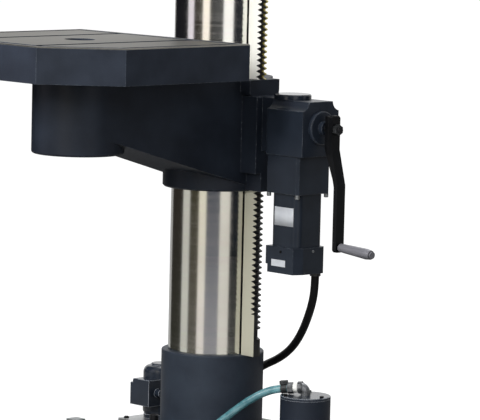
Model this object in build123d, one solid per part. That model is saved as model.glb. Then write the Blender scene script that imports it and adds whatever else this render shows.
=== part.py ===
from build123d import *
import os
from math import cos, pi, radians, sin, sqrt, tan

os.makedirs("parts", exist_ok=True)

# Frame: column axis at X = Y = 0, floor at Z = 0, the operator stands at -Y, +X is to the operator's right.

# Fits and clearances
slide_gap = 0.2
run_gap = 0.06
seat_gap = 0.1
clear_gap = 1.5
button_gap = 0.3

# Base casting
base_half_width = 292.0
base_front_y = -620.0
base_rear_y = 270.0
base_height = 111.0
base_edge = 3.0
base_corner_radius = 45.0
base_wall = 20.0
base_top_thick = 46.0
base_rib = 16.0
table_rib = 16.0
anchor_inset = 45.0
anchor_dia = 22.0
anchor_pad = 80.0
slot_width = 18.0
slot_neck_depth = 16.0
slot_head_width = 30.0
slot_head_depth = 14.0
base_slot_x = 120.0
base_slot_end_y = -210.0

# Coolant tank in the base and the pump on it
tank_x0 = -276.0
tank_x1 = -176.0
tank_y0 = 10.0
tank_y1 = 170.0
tank_floor = 15.0
tank_wall = 12.0
cover_lap = 8.0
cover_thick = 6.0
pump_x = -239.0
pump_y = 80.0
pump_radius = 38.0
pump_height = 114.0
pump_cap_radius = 22.0
pump_cap_thick = 4.0
pump_flange_radius = 36.0
pump_flange_thick = 8.0
pump_stem_radius = 24.0
pump_stem_length = 80.0
pump_box_width = 57.0
pump_box_reach = 61.0
pump_box_back = 20.0
pump_box_height = 55.0
pump_box_z = 147.0
pump_cover_thick = 7.0
pump_cover_step = 9.0
pump_gland_radius = 8.5
pump_gland_length = 14.0
pump_gland_inset = 23.7

# Column and its foot
column_radius = 90.0
column_wall = 14.0
column_top_z = 1745.0
column_cap_thick = 10.0
foot_top_z = 298.0
foot_wall = 13.0
foot_flange_radius = 158.0
foot_flange_thick = 25.0
foot_screw_circle = 140.0
foot_screw_count = 4
foot_screw_start_deg = 13.0
screw_dia = 12.0
screw_head_dia = 18.0
screw_head_height = 12.0
screw_socket = 10.0
screw_grip = 30.0

# Rack and lift gearing
module_lift = 3.5
rack_stand_off = 3.0
rack_body = 27.1
rack_width = 18.0
rack_plain_foot = 45.0
rack_keeper_height = 84.0
rack_top_z = 1190.0
collar_height = 35.0
collar_wall = 41.0
lift_gear_teeth = 12
lift_gear_width = 22.0
lift_shaft_radius = 10.0
worm_z = 767.0
worm_root_radius = 8.0
worm_crest_radius = 10.4
worm_length = 22.0
bevel_teeth = 16
bevel_module = 2.5
bevel_face = 6.4
bevel_shaft_radius = 9.0
gear_side_gap = 1.6

# Table bracket
sleeve_wall = 18.0
sleeve_bottom_z = 627.0
lug_height = 32.0
arm_root_z = 634.0
arm_slope_deg = 16.3
hub_radius = 90.0
hub_bottom_z = 711.0
hub_bore_radius = 36.0
pad_half_width = 35.0
pad_face_x = 149.0
pad_bottom_z = 666.0
neck_half_width = 20.0
gearbox_top_z = 818.0
lug_half_width = 40.0
lug_end_x = 133.0
ear_length = 55.0
ear_half_width = 32.0
ear_bottom_z = 680.0
ear_top_z = 800.0
clamp_slit = 4.0
clamp_stud_radius = 9.0
clamp_stud_z = 740.0
clamp_lever_length = 120.0

# Work table
table_half_width = 250.0
table_thick = 70.0
table_bottom_z = 861.0
spindle_y = -368.0
table_half_depth = 220.0
table_chamfer = 118.0
table_rear_chamfer = 6.0
table_top_skin = 40.0
table_skirt = 22.0
gutter_inset = 14.0
gutter_width = 14.0
gutter_depth = 8.0
table_slot_x = 105.0
table_bore_radius = 30.0
table_bed_half = 100.0
table_screw_circle = 66.0

# Lift gearbox, gearhead, motor and crank
gearbox_start_x = 192.0
gearbox_end_x = 292.0
gearbox_top_half = 32.0
gearbox_low_half = 48.5
gearbox_step = 18.0
gearbox_bottom_z = 711.0
gearbox_wall = 14.0
gearbox_back = 10.0
cap_x = 213.0
cap_radius = 36.5
cap_thick = 10.0
cap_spigot_radius = 20.0
motor_x = 233.0
gearhead_side = 90.0
gearhead_height = 75.0
gearhead_corner = 5.0
gearhead_screw_pitch = 39.5
motor_side = 75.0
motor_corner = 16.0
motor_height = 105.0
end_box_side = 80.0
end_box_height = 52.0
end_box_front_cut_x = 8.0
end_box_front_cut_y = 20.0
end_box_rear_cut = 8.0
end_box_band = 36.0
end_box_lip = 2.0
end_box_inset = 5.0
crank_flange_radius = 33.0
crank_flange_thick = 8.0
crank_flange_spigot = 20.0
crank_x = 325.0
crank_bar_thick = 10.0
crank_bar_width = 22.0
crank_offset = 18.0
crank_radius = 227.0
crank_over = 27.0
crank_end = 10.0
crank_bend_start = 42.0
crank_bend_end = 110.0
crank_nut_flats = 19.0
crank_nut_thick = 9.0
grip_pin_radius = 5.0
grip_length = 83.0
grip_droop_deg = 4.0
grip_small_radius = 8.0
grip_large_radius = 10.5

# Settling pot, its fittings and the hose
pot_x = 228.0
pot_y = 41.0
pot_radius = 50.0
pot_wall = 4.0
pot_top_z = 224.0
lid_radius = 50.0
lid_thick = 6.0
elbow_radius = 8.8
elbow_rise = 5.0
elbow_bend = 11.0
elbow_run = 25.0
elbow_heading_deg = 210.0
elbow_droop_deg = 7.0
elbow_lip = 3.4
elbow_foot_lip = 1.2
elbow_collar_at = 6.0
elbow_collar_width = 8.5
nipple_flats = 20.0
nipple_length = 11.0
barb_radius = 6.5
barb_length = 18.0
hose_dia = 16.0
clamp_width = 12.0
clamp_thick = 1.5
inlet_x = -190.0
inlet_y = -196.0
inlet_block = 30.0
inlet_z = 133.0

# Lift cable
cable_dia = 16.0
gland_radius = 13.0
gland_length = 24.0
bush_wall = 2.6
bush_length = 6.0
cable_exit_x = 262.5
cable_exit_y = 25.0
cable_heading_deg = 159.0
cable_reach = 372.0

# Head casting
head_bottom_z = 1470.0
head_top_z = 1790.0
head_half_width = 130.0
head_front_y = -485.0
head_corner_radius = 30.0
head_clamp_wall = 45.0
head_clamp_top_z = 1725.0
head_wall = 30.0
head_front_wall = 20.0
cavity_bottom_z = 1640.0
cavity_rear_y = -195.0
head_slit = 5.0
head_ear_length = 50.0
head_lid_thick = 12.0
nose_radius = 75.0
nose_length = 50.0

# Quill, spindle and chuck
quill_radius = 45.0
quill_bottom_z = 1395.0
quill_top_z = 1720.0
quill_bore_radius = 31.0
quill_travel = 160.0
module_feed = 2.5
feed_teeth = 14
feed_z = 1545.0
feed_pitch_offset = 40.0
feed_pinion_width = 20.0
feed_shaft_radius = 12.5
bearing_height = 18.0
spindle_radius = 20.0
spindle_nose_radius = 29.0
spindle_nose_z = 1368.0
drive_radius = 14.0
drive_top_z = 1930.0
arbor_radius = 12.0
arbor_length = 16.0
chuck_radius = 30.0
chuck_length = 92.0
chuck_mouth_radius = 9.0
jaw_length = 26.0

# Head gearing and drive motor
module_drive = 3.0
drive_gear_teeth = 58
motor_pinion_teeth = 22
drive_gear_z = 1735.0
drive_gear_width = 25.0
drive_shaft_radius = 12.0
drive_motor_radius = 80.0
drive_fin_depth = 9.0
drive_fin_count = 28
drive_motor_height = 190.0
drive_flange_radius = 88.0
drive_flange_thick = 14.0
cowl_radius = 90.0
cowl_height = 62.0
cowl_wall = 5.0
cap_tube_radius = 22.0
cap_tube_top_z = 1945.0

# Feed hub, levers and panel
feed_hub_radius = 38.0
feed_hub_length = 46.0
feed_hub_gap = 10.0
feed_lever_count = 3
feed_lever_radius = 8.0
feed_lever_length = 190.0
feed_knob_radius = 18.0
spring_case_radius = 42.0
spring_case_thick = 26.0
panel_x0 = -100.0
panel_x1 = 38.0
panel_z0 = 1585.0
panel_z1 = 1735.0
panel_depth = 26.0
button_radius = 13.0
button_reach = 9.0
button_stem_radius = 8.0
button_depth = 16.0
estop_radius = 20.0
button_row_z = 1625.0
estop_z = 1695.0
gear_lever_x = 82.0
gear_lever_z = 1690.0
gear_lever_hub = 18.0
gear_lever_length = 62.0
button_travel = 4.0

# Values that follow from the sizes above
base_mid_y = (base_front_y + base_rear_y) / 2
table_top_z = table_bottom_z + table_thick
sleeve_radius = column_radius + sleeve_wall
sleeve_top_z = gearbox_top_z + lug_height
gearbox_shoulder_z = gearbox_top_z - gearbox_step
foot_radius = column_radius + foot_wall
lift_pitch = pi * module_lift
lift_gear_radius = module_lift * lift_gear_teeth / 2
rack_back_x = column_radius + rack_stand_off
rack_root_x = rack_back_x + rack_body
rack_line_x = rack_root_x + 1.25 * module_lift
rack_tip_x = rack_line_x + module_lift
lift_gear_x = rack_line_x + lift_gear_radius
lift_gear_tip = lift_gear_radius + module_lift
lift_gear_z = worm_z - lift_gear_tip - worm_root_radius - 0.5
bevel_radius = bevel_module * bevel_teeth / 2
gearhead_bottom_z = gearbox_bottom_z - gearhead_height
motor_bottom_z = gearhead_bottom_z - motor_height
end_box_bottom_z = motor_bottom_z - end_box_height
grip_axis_z = worm_z - crank_radius
crank_low_x = crank_x + crank_offset
lid_z = head_top_z + head_lid_thick
feed_radius = module_feed * feed_teeth / 2
feed_y = spindle_y + feed_pitch_offset + feed_radius
drive_motor_y = spindle_y + module_drive * (drive_gear_teeth + motor_pinion_teeth) / 2
quill_bottom_gap = quill_bottom_z - spindle_nose_z
chuck_top_z = spindle_nose_z - arbor_length
panel_face_y = head_front_y - panel_depth


def box(x0, x1, y0, y1, z0, z1):
    return Pos((x0 + x1) / 2, (y0 + y1) / 2, (z0 + z1) / 2) * Box(x1 - x0, y1 - y0, z1 - z0)


def cyl(radius, z0, z1, x=0.0, y=0.0):
    return Pos(x, y, (z0 + z1) / 2) * Cylinder(radius, z1 - z0)


def cyl_x(radius, x0, x1, y, z):
    return Pos((x0 + x1) / 2, y, z) * Rot(0, 90, 0) * Cylinder(radius, x1 - x0)


def cyl_y(radius, y0, y1, x, z):
    return Pos(x, (y0 + y1) / 2, z) * Rot(90, 0, 0) * Cylinder(radius, y1 - y0)


def plate(outline, z0, z1):
    return Pos(0, 0, z0) * extrude(make_face(Polyline(*outline, close=True)), z1 - z0)


def prism_y(outline, half):
    points = [(x, 0, z) for x, z in outline]
    return extrude(make_face(Polyline(*points, close=True)), half, both=True)


def prism_x(outline, x0, x1):
    points = [(0, y, z) for y, z in outline]
    solid = extrude(make_face(Polyline(*points, close=True)), (x1 - x0) / 2, both=True)
    return Pos((x0 + x1) / 2, 0, 0) * solid


def gear_outline(teeth, module, share=0.44, first_deg=0.0):
    # each tooth has a root corner, two tip corners and a root corner, with 20 degree flanks
    pitch_radius = module * teeth / 2
    tip, root = pitch_radius + module, pitch_radius - 1.25 * module
    half = share * pi / teeth
    lean = tan(radians(20)) / pitch_radius
    tip_half = half - module * lean
    root_half = half + 0.8 * module * lean
    points = []
    for tooth in range(teeth):
        middle = radians(first_deg) + 2 * pi * tooth / teeth
        for radius, angle in ((root, -root_half), (tip, -tip_half), (tip, tip_half), (root, root_half)):
            points.append((radius * cos(middle + angle), radius * sin(middle + angle)))
    return points


def fin_outline(radius, depth, count, share=0.35):
    points = []
    for fin in range(count):
        middle = 2 * pi * fin / count
        half = share * pi / count
        for reach, angle in ((radius, -half), (radius + depth, -half), (radius + depth, half), (radius, half)):
            points.append((reach * cos(middle + angle), reach * sin(middle + angle)))
    return points


def cap_screw(head_dia, head_height, socket, dia, grip):
    # stands on Z = 0 with its shank below
    head = cyl(head_dia / 2, 0, head_height)
    head = chamfer(head.edges().group_by(Axis.Z)[-1], 0.08 * head_dia)
    recess = Pos(0, 0, 0.5 * head_height) * extrude(RegularPolygon(socket / 2, 6, major_radius=False), head_height)
    return head - recess + cyl(dia / 2, -grip, 0)


def cord_tube(points, diameter, name):
    corners = [Vector(*p) for p in points]
    radii = []
    for before, at, after in zip(corners, corners[1:], corners[2:]):
        turn = radians((at - before).get_angle(after - at))
        radii.append(0.45 * min((at - before).length, (after - at).length) / tan(turn / 2))
    path = FilletPolyline(*corners, radius=radii)
    tube = sweep(Plane(origin=path @ 0, z_dir=path % 0) * Circle(diameter / 2), path=path)
    print(name, "radii", [round(r) for r in radii], "length", round(path.length))
    print(name, "volume share", round(tube.volume / (pi * diameter**2 / 4 * path.length), 4))
    return tube


def base_plate():
    depth = base_rear_y - base_front_y
    body = Pos(0, base_mid_y, 0) * extrude(RectangleRounded(2 * base_half_width, depth, base_corner_radius), base_height)
    body = chamfer(body.faces().sort_by(Axis.Z)[-1].outer_wire().edges(), base_edge)
    inner = base_half_width - base_wall
    roof = base_height - base_top_thick
    hollow = box(-inner, inner, base_front_y + base_wall, base_rear_y - base_wall, -1, roof)
    for step in (-1, 0, 1):
        x = step * base_half_width / 2
        hollow -= box(x - base_rib / 2, x + base_rib / 2, base_front_y, base_rear_y, -1, roof)
    for step in (-1.5, -0.5, 0.5, 1.5):
        y = base_mid_y + step * (base_rear_y - base_front_y) / 5
        hollow -= box(-inner, inner, y - base_rib / 2, y + base_rib / 2, -1, roof)
    hollow -= cyl(foot_flange_radius + 10, -1, roof)
    hollow -= box(-inner, tank_x1 + tank_wall, tank_y0 - tank_wall, base_rear_y, -1, roof)
    for x, y in anchor_places():
        hollow -= Pos(x, y, roof / 2) * Box(2 * anchor_pad, 2 * anchor_pad, roof + 2)
        body -= cyl(anchor_dia / 2, -1, base_height + 1, x, y)
    body -= hollow
    body -= box(tank_x0, tank_x1, tank_y0, tank_y1, tank_floor, base_height + 1)
    for x in (-base_slot_x, base_slot_x):
        neck = base_height - slot_neck_depth
        body -= box(x - slot_width / 2, x + slot_width / 2, base_front_y - 1, base_slot_end_y, neck, base_height + 1)
        half = slot_head_width / 2
        body -= box(x - half, x + half, base_front_y - 1, base_slot_end_y, neck - slot_head_depth, neck)
    for x, y in foot_screw_places():
        body -= cyl(screw_dia / 2 + seat_gap, base_height - screw_grip, base_height + 1, x, y)
    return body


def anchor_places():
    x = base_half_width - anchor_inset
    return [(i, j) for i in (-x, x) for j in (base_front_y + anchor_inset, base_rear_y - anchor_inset)]


def foot_screw_places():
    places = []
    for k in range(foot_screw_count):
        angle = radians(foot_screw_start_deg + 360 * k / foot_screw_count)
        places.append((foot_screw_circle * cos(angle), foot_screw_circle * sin(angle)))
    return places


def tank_cover():
    body = box(tank_x0 - cover_lap, tank_x1 + cover_lap, tank_y0 - cover_lap, tank_y1 + cover_lap,
               base_height, base_height + cover_thick)
    return body - cyl(pump_stem_radius + clear_gap, base_height - 1, base_height + cover_thick + 1, pump_x, pump_y)


def coolant_pump():
    z0 = base_height + cover_thick
    flange = cyl(pump_flange_radius, 0, pump_flange_thick)
    shell = cyl(pump_radius, pump_flange_thick, pump_height - pump_cap_thick)
    shell = fillet(shell.edges().group_by(Axis.Z)[-1], 14)
    shell = fillet(shell.edges().group_by(Axis.Z)[0], 8)
    cap = cyl(pump_cap_radius, pump_height - pump_cap_thick, pump_height)
    shell += fillet(cap.edges().group_by(Axis.Z)[-1], 1.5)
    stem = cyl(pump_stem_radius, -pump_stem_length, 0) + cyl(pump_stem_radius + 8, -pump_stem_length, 16 - pump_stem_length)
    stem -= cyl(12, -pump_stem_length - 1, 10 - pump_stem_length)
    return Pos(pump_x, pump_y, z0) * (flange + shell + stem)


def pump_terminal_box():
    # its cover plate is on the left end and stops short of the top
    x0, x1 = pump_x - pump_box_width / 2, pump_x + pump_box_width / 2
    y0, y1 = pump_y - pump_box_reach, pump_y - pump_box_back
    z1 = pump_box_z + pump_box_height
    body = box(x0 + pump_cover_thick, x1, y0, y1, pump_box_z, z1)
    body = fillet(body.edges().filter_by(Axis.Y).group_by(Axis.Z)[-1].sort_by(Axis.X)[0], 5)
    body += box(x0, x0 + pump_cover_thick, y0, y1, pump_box_z, z1 - pump_cover_step)
    body -= cyl(pump_radius + 0.3, pump_box_z - 1, z1 + 1, pump_x, pump_y)
    mid = pump_box_z + pump_box_height / 2
    return body + cyl_x(pump_gland_radius, x1, x1 + pump_gland_length, y0 + pump_gland_inset, mid)


def column():
    return cyl(column_radius, base_height, column_top_z) - cyl(column_radius - column_wall, base_height - 1, column_top_z + 1)


def column_cap():
    disc = cyl(column_radius, column_top_z, column_top_z + column_cap_thick)
    disc = chamfer(disc.edges().group_by(Axis.Z)[-1], 3)
    return disc + cyl(column_radius - column_wall - seat_gap, column_top_z - 12, column_top_z)


def column_foot():
    flange_top = base_height + foot_flange_thick
    flange = cyl(foot_flange_radius, base_height, flange_top)
    flange = chamfer(flange.edges().group_by(Axis.Z)[-1], 4)
    tube = cyl(foot_radius, flange_top, foot_top_z)
    tube = fillet(tube.edges().group_by(Axis.Z)[-1], 3)
    body = flange + tube
    body = fillet(body.edges().filter_by(GeomType.CIRCLE).filter_by_position(
        Axis.Z, flange_top - 0.1, flange_top + 0.1).sort_by(SortBy.RADIUS)[0], 8)
    body -= cyl(column_radius + seat_gap, base_height - 1, foot_top_z + 1)
    for x, y in foot_screw_places():
        body -= cyl(screw_dia / 2 + seat_gap, base_height - 1, flange_top + 1, x, y)
    return body


def frame_screws():
    # four in the foot and two in the head clamp, all of one size
    flange_top = base_height + foot_flange_thick
    screw = cap_screw(screw_head_dia, screw_head_height, screw_socket, screw_dia, foot_flange_thick + screw_grip - 2)
    placed = [Pos(x, y, flange_top) * screw for x, y in foot_screw_places()]
    placed += [Pos(30, head_screw_y(), z) * Rot(0, 90, 0) * screw for z in head_screw_heights()]
    return Compound(children=placed)


def column_rack():
    half = 0.235 * lift_pitch
    lean = tan(radians(20))
    root_half = half + 1.25 * module_lift * lean
    tip_half = half - module_lift * lean
    # the gap between two teeth lies level with the lift gear's axis
    first = foot_top_z + rack_plain_foot
    below = int((lift_gear_z - first) / lift_pitch - 0.5)
    count = int((rack_top_z - lift_gear_z) / lift_pitch - 1.0) + below + 1
    points = [(rack_back_x, rack_top_z), (rack_back_x, foot_top_z), (rack_tip_x, foot_top_z),
              (rack_tip_x, first - lift_pitch), (rack_root_x, first - 0.6 * lift_pitch)]
    for tooth in range(count):
        middle = lift_gear_z + (tooth - below + 0.5) * lift_pitch
        points += [(rack_root_x, middle - root_half), (rack_tip_x, middle - tip_half),
                   (rack_tip_x, middle + tip_half), (rack_root_x, middle + root_half)]
    points.append((rack_root_x, rack_top_z))
    # a plain keeper covers the near half of the lowest teeth
    keeper = box(rack_root_x - 2, rack_tip_x, -rack_width / 2, 0, foot_top_z, foot_top_z + rack_keeper_height)
    return prism_y(points, rack_width / 2) + keeper


def rack_collar():
    ring = cyl(column_radius + collar_wall, rack_top_z, rack_top_z + collar_height)
    ring = chamfer(ring.edges().group_by(Axis.Z)[-1], 4)
    ring -= cyl(column_radius + seat_gap, rack_top_z - 1, rack_top_z + collar_height + 1)
    mid = rack_top_z + collar_height / 2
    for side in (-1, 1):
        inner, outer = column_radius + 20, column_radius + collar_wall + 1
        ring -= cyl_y(5, side * inner if side > 0 else -outer, outer if side > 0 else -inner, 0, mid)
    return ring


def table_bracket():
    # in plan the arm's sides are tangent to the sleeve and to the hub
    lean = (sleeve_radius - hub_radius) / -spindle_y
    across = sqrt(1 - lean**2)
    low = arm_root_z
    rise = tan(radians(arm_slope_deg))
    root, front = -sleeve_radius * lean, spindle_y - hub_radius * lean
    side = prism_x([(0, low), (front, low - front * rise), (front, table_bottom_z),
                    (-sleeve_radius - 12, table_bottom_z), (-sleeve_radius, sleeve_top_z), (0, sleeve_top_z)],
                   -sleeve_radius, sleeve_radius)
    wide, narrow = sleeve_radius * across, hub_radius * across
    arm = side & plate([(wide, root), (narrow, front), (-narrow, front), (-wide, root)], sleeve_bottom_z, table_bottom_z)
    hub = cyl(hub_radius, hub_bottom_z, table_bottom_z, 0, spindle_y)
    hub = fillet(hub.edges().group_by(Axis.Z)[0], 5)
    sleeve = cyl(sleeve_radius, sleeve_bottom_z, sleeve_top_z)
    sleeve = chamfer(sleeve.edges().group_by(Axis.Z)[0], 3)
    pad = box(0, pad_face_x, -pad_half_width, pad_half_width, pad_bottom_z, gearbox_top_z)
    neck = box(0, gearbox_start_x, -neck_half_width, neck_half_width, gearbox_bottom_z, gearbox_top_z)
    neck += box(0, pad_face_x, -neck_half_width, neck_half_width, sleeve_bottom_z + 3, gearbox_bottom_z)
    lug = box(0, lug_end_x, -lug_half_width, lug_half_width, gearbox_top_z, sleeve_top_z)
    lug = fillet(lug.edges().filter_by(Axis.X).group_by(Axis.Z)[0], 10)
    ear_x0 = -sleeve_radius - ear_length
    ears = box(ear_x0, 0, -ear_half_width, ear_half_width, ear_bottom_z, ear_top_z)
    ears = fillet(ears.edges().filter_by(Axis.Y).sort_by(Axis.X)[0:2], 12)
    body = sleeve + arm + hub + pad + neck + lug + ears
    body -= cyl(column_radius + slide_gap, sleeve_bottom_z - 1, table_bottom_z + 1)
    groove = rack_width / 2 + clear_gap
    body -= box(0, rack_tip_x + clear_gap, -groove, groove, sleeve_bottom_z - 1, table_bottom_z + 1)
    gear_half = lift_gear_width / 2 + gear_side_gap
    gear_room = lift_gear_tip + 2
    body -= cyl_y(gear_room, -gear_half, gear_half, lift_gear_x, lift_gear_z)
    body -= box(rack_tip_x, lift_gear_x, -gear_half, gear_half, lift_gear_z - 12, lift_gear_z + 12)
    body -= cyl_x(worm_crest_radius + clear_gap, rack_tip_x, gearbox_start_x + 1, 0, worm_z)
    body -= cyl_y(lift_shaft_radius + run_gap, -neck_half_width + 1, pad_half_width + 1, lift_gear_x, lift_gear_z)
    body -= box(ear_x0 - 1, 0, -clamp_slit / 2, clamp_slit / 2, sleeve_bottom_z - 1, sleeve_top_z + 1)
    body -= cyl_y(clamp_stud_radius + run_gap, -ear_half_width - 1, ear_half_width + 1, stud_x(), clamp_stud_z)
    body -= cyl(hub_bore_radius, hub_bottom_z - 1, table_bottom_z + 1, 0, spindle_y)
    for x, y in table_screw_places():
        body -= cyl(screw_dia / 2 + seat_gap, hub_bottom_z - 1, table_bottom_z + 1, x, y)
        body -= cyl(screw_head_dia / 2 + 0.5, hub_bottom_z - 1, hub_seat_z(), x, y)
    return body


def stud_x():
    return -sleeve_radius - ear_length / 2


def table_screw_places():
    reach = table_screw_circle / sqrt(2)
    return [(i * reach, spindle_y + j * reach) for i in (-1, 1) for j in (-1, 1)]


def hub_seat_z():
    return hub_bottom_z + screw_head_height + 1


def table_screws():
    screw = cap_screw(screw_head_dia, screw_head_height, screw_socket, screw_dia, table_bottom_z - hub_seat_z() + 22)
    flipped = Rot(180, 0, 0) * screw
    return Compound(children=[Pos(x, y, hub_seat_z()) * flipped for x, y in table_screw_places()])


def table_outline(inset):
    x = table_half_width - inset
    y = table_half_depth - inset
    front = table_chamfer - inset * (2 - sqrt(2))
    rear = max(table_rear_chamfer - inset * (2 - sqrt(2)), 0.5)
    return [(x - rear, spindle_y + y), (x, spindle_y + y - rear), (x, spindle_y - y + front),
            (x - front, spindle_y - y), (-x + front, spindle_y - y), (-x, spindle_y - y + front),
            (-x, spindle_y + y - rear), (-x + rear, spindle_y + y)]


def work_table():
    body = plate(table_outline(0), table_bottom_z, table_top_z)
    body = chamfer(body.faces().sort_by(Axis.Z)[-1].outer_wire().edges(), 2)
    gutter = plate(table_outline(gutter_inset), table_top_z - gutter_depth, table_top_z + 1)
    gutter -= plate(table_outline(gutter_inset + gutter_width), table_top_z - gutter_depth - 1, table_top_z + 2)
    body -= gutter
    hollow = plate(table_outline(table_skirt), table_bottom_z - 1, table_top_z - table_top_skin)
    hollow -= cyl(hub_radius + 8, table_bottom_z - 2, table_top_z, 0, spindle_y)
    rib = table_rib / 2
    hollow -= box(-table_half_width, table_half_width, spindle_y - rib, spindle_y + rib, table_bottom_z - 2, table_top_z)
    front = spindle_y - table_half_depth
    hollow -= box(-rib, rib, front, spindle_y, table_bottom_z - 2, table_top_z)
    for x in (-table_slot_x, table_slot_x):
        half = slot_head_width / 2 + rib / 2
        hollow -= box(x - half, x + half, front, spindle_y + table_half_depth, table_bottom_z - 2, table_top_z)
    hollow -= box(-table_bed_half, table_bed_half, spindle_y, spindle_y + table_half_depth, table_bottom_z - 2, table_top_z)
    body -= hollow
    reach = table_half_depth - gutter_inset - gutter_width / 2
    neck = table_top_z - slot_neck_depth
    for x in (-table_slot_x, table_slot_x):
        half = slot_width / 2
        body -= box(x - half, x + half, spindle_y - reach, spindle_y + reach, neck, table_top_z + 1)
        half = slot_head_width / 2
        body -= box(x - half, x + half, spindle_y - reach, spindle_y + reach, neck - slot_head_depth, neck)
    body -= cyl(table_bore_radius, table_bottom_z - 1, table_top_z + 1, 0, spindle_y)
    for x, y in table_screw_places():
        body -= cyl(screw_dia / 2 + seat_gap, table_bottom_z - 1, table_bottom_z + 24, x, y)
    return body


def lift_gear():
    outline = gear_outline(lift_gear_teeth, module_lift, 0.42)
    wheel = extrude(make_face(Polyline(*outline, close=True)), lift_gear_width / 2, both=True)
    wheel = Pos(lift_gear_x, 0, lift_gear_z) * Rot(90, 0, 0) * wheel
    return wheel + cyl_y(lift_shaft_radius, -neck_half_width + 1.5, neck_half_width - 0.5, lift_gear_x, lift_gear_z)


def worm_thread():
    # a right-hand thread of one start, whose crest passes the lift gear's lowest gap
    turns = round(worm_length / lift_pitch)
    height = turns * lift_pitch
    helix = Helix(lift_pitch, height, worm_root_radius)
    sink = 0.6
    crest = worm_crest_radius - worm_root_radius
    start = helix @ 0
    tangent = helix % 0
    frame = Plane(origin=start, x_dir=(1, 0, 0), z_dir=tangent)
    profile = frame * make_face(Polyline((-sink, -2.6), (crest, -1.5), (crest, 1.5), (-sink, 2.6), close=True))
    thread = sweep(profile, path=helix, is_frenet=True)
    # the thread starts pointing up, so it passes under the axis half a pitch either side of the gear's top tooth
    lead_in = lift_gear_x - turns * lift_pitch / 2
    return Pos(lead_in, 0, worm_z) * Rot(0, 90, 0) * Rot(0, 0, 180) * thread


def worm_shaft():
    shaft = cyl_x(worm_root_radius, rack_tip_x + 2 * clear_gap, crank_x + crank_bar_thick, 0, worm_z)
    stub = cyl_x(6, crank_x + crank_bar_thick, crank_x + crank_bar_thick + crank_nut_thick + 4, 0, worm_z)
    return shaft + stub + worm_thread()


def bevel_blank(first_deg):
    # pitch circle on Z = 0, cone apex at Z = bevel_radius, teeth point to +Z
    outer = []
    for tooth in range(bevel_teeth):
        middle = radians(first_deg) + 2 * pi * tooth / bevel_teeth
        for reach, angle in ((-0.85, -6.6), (0.7, -2.9), (0.7, 2.9), (-0.85, 6.6)):
            radius = bevel_radius + reach * bevel_module
            outer.append((radius * cos(middle + radians(angle)), radius * sin(middle + radians(angle))))
    shrink = (bevel_radius - bevel_face) / bevel_radius
    inner = [(x * shrink, y * shrink, bevel_face) for x, y in outer]
    base = make_face(Polyline(*[(x, y, 0) for x, y in outer], close=True))
    top = make_face(Polyline(*inner, close=True))
    return loft([base, top], ruled=True)


def motor_bevel():
    cone = Pos(motor_x, 0, worm_z - bevel_radius) * bevel_blank(0)
    shaft = cyl(bevel_shaft_radius, gearbox_bottom_z - 25, worm_z - bevel_radius, motor_x, 0)
    return cone + shaft


def worm_bevel():
    # its teeth face the motor axis, with a gap where the other gear has a tooth
    turn = 180 / bevel_teeth
    cone = Pos(motor_x + bevel_radius, 0, worm_z) * Rot(0, -90, 0) * bevel_blank(turn)
    hub = cyl_x(14, motor_x + bevel_radius, motor_x + bevel_radius + 12, 0, worm_z)
    return cone + hub - cyl_x(worm_root_radius, motor_x, motor_x + bevel_radius + 20, 0, worm_z)


def lift_gearbox():
    top, low = gearbox_top_half, gearbox_low_half
    step = gearbox_top_z - gearbox_shoulder_z
    cove = min(step, low - top)
    edges = [
        Line((0, -top, gearbox_top_z), (0, top, gearbox_top_z)),
        ThreePointArc((0, top, gearbox_top_z), (0, top + 0.293 * cove, gearbox_top_z - 0.707 * cove),
                      (0, low, gearbox_shoulder_z)),
        Line((0, low, gearbox_shoulder_z), (0, low, gearbox_bottom_z)),
        Line((0, low, gearbox_bottom_z), (0, -low, gearbox_bottom_z)),
        Line((0, -low, gearbox_bottom_z), (0, -low, gearbox_shoulder_z)),
        ThreePointArc((0, -low, gearbox_shoulder_z), (0, -top - 0.293 * cove, gearbox_top_z - 0.707 * cove),
                      (0, -top, gearbox_top_z)),
    ]
    half = (gearbox_end_x - gearbox_start_x) / 2
    body = Pos(gearbox_start_x + half, 0, 0) * extrude(make_face(edges), half, both=True)
    inner_end = gearbox_end_x - gearbox_wall
    inner_start = gearbox_start_x + gearbox_back
    body -= box(inner_start, inner_end, -pad_half_width + 7, pad_half_width - 7,
                gearbox_bottom_z + gearbox_wall, gearbox_top_z - gearbox_wall)
    body -= cyl_x(worm_root_radius + run_gap, gearbox_start_x - 1, inner_start + 1, 0, worm_z)
    body -= cyl_x(crank_flange_spigot, inner_end - 1, gearbox_end_x + 1, 0, worm_z)
    body -= cyl(cap_spigot_radius, gearbox_top_z - gearbox_wall - 1, gearbox_top_z + 1, cap_x, 0)
    body -= cyl(bevel_shaft_radius + run_gap, gearbox_bottom_z - 1, gearbox_bottom_z + gearbox_wall + 1, motor_x, 0)
    return body


def gearbox_cap():
    disc = cyl(cap_radius, gearbox_top_z, gearbox_top_z + cap_thick, cap_x, 0)
    disc = chamfer(disc.edges().group_by(Axis.Z)[-1], 2)
    return disc + cyl(cap_spigot_radius - seat_gap, gearbox_top_z - 9, gearbox_top_z, cap_x, 0)


def crank_flange():
    disc = cyl_x(crank_flange_radius, gearbox_end_x, gearbox_end_x + crank_flange_thick, 0, worm_z)
    disc = chamfer(disc.edges().group_by(Axis.X)[-1], 2)
    boss = cyl_x(14, gearbox_end_x, gearbox_end_x + crank_flange_thick + 9, 0, worm_z)
    spigot = cyl_x(crank_flange_spigot - seat_gap, gearbox_end_x - gearbox_wall, gearbox_end_x, 0, worm_z)
    return disc + boss + spigot - cyl_x(worm_root_radius + run_gap, gearbox_end_x - 40, gearbox_end_x + 40, 0, worm_z)


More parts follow.
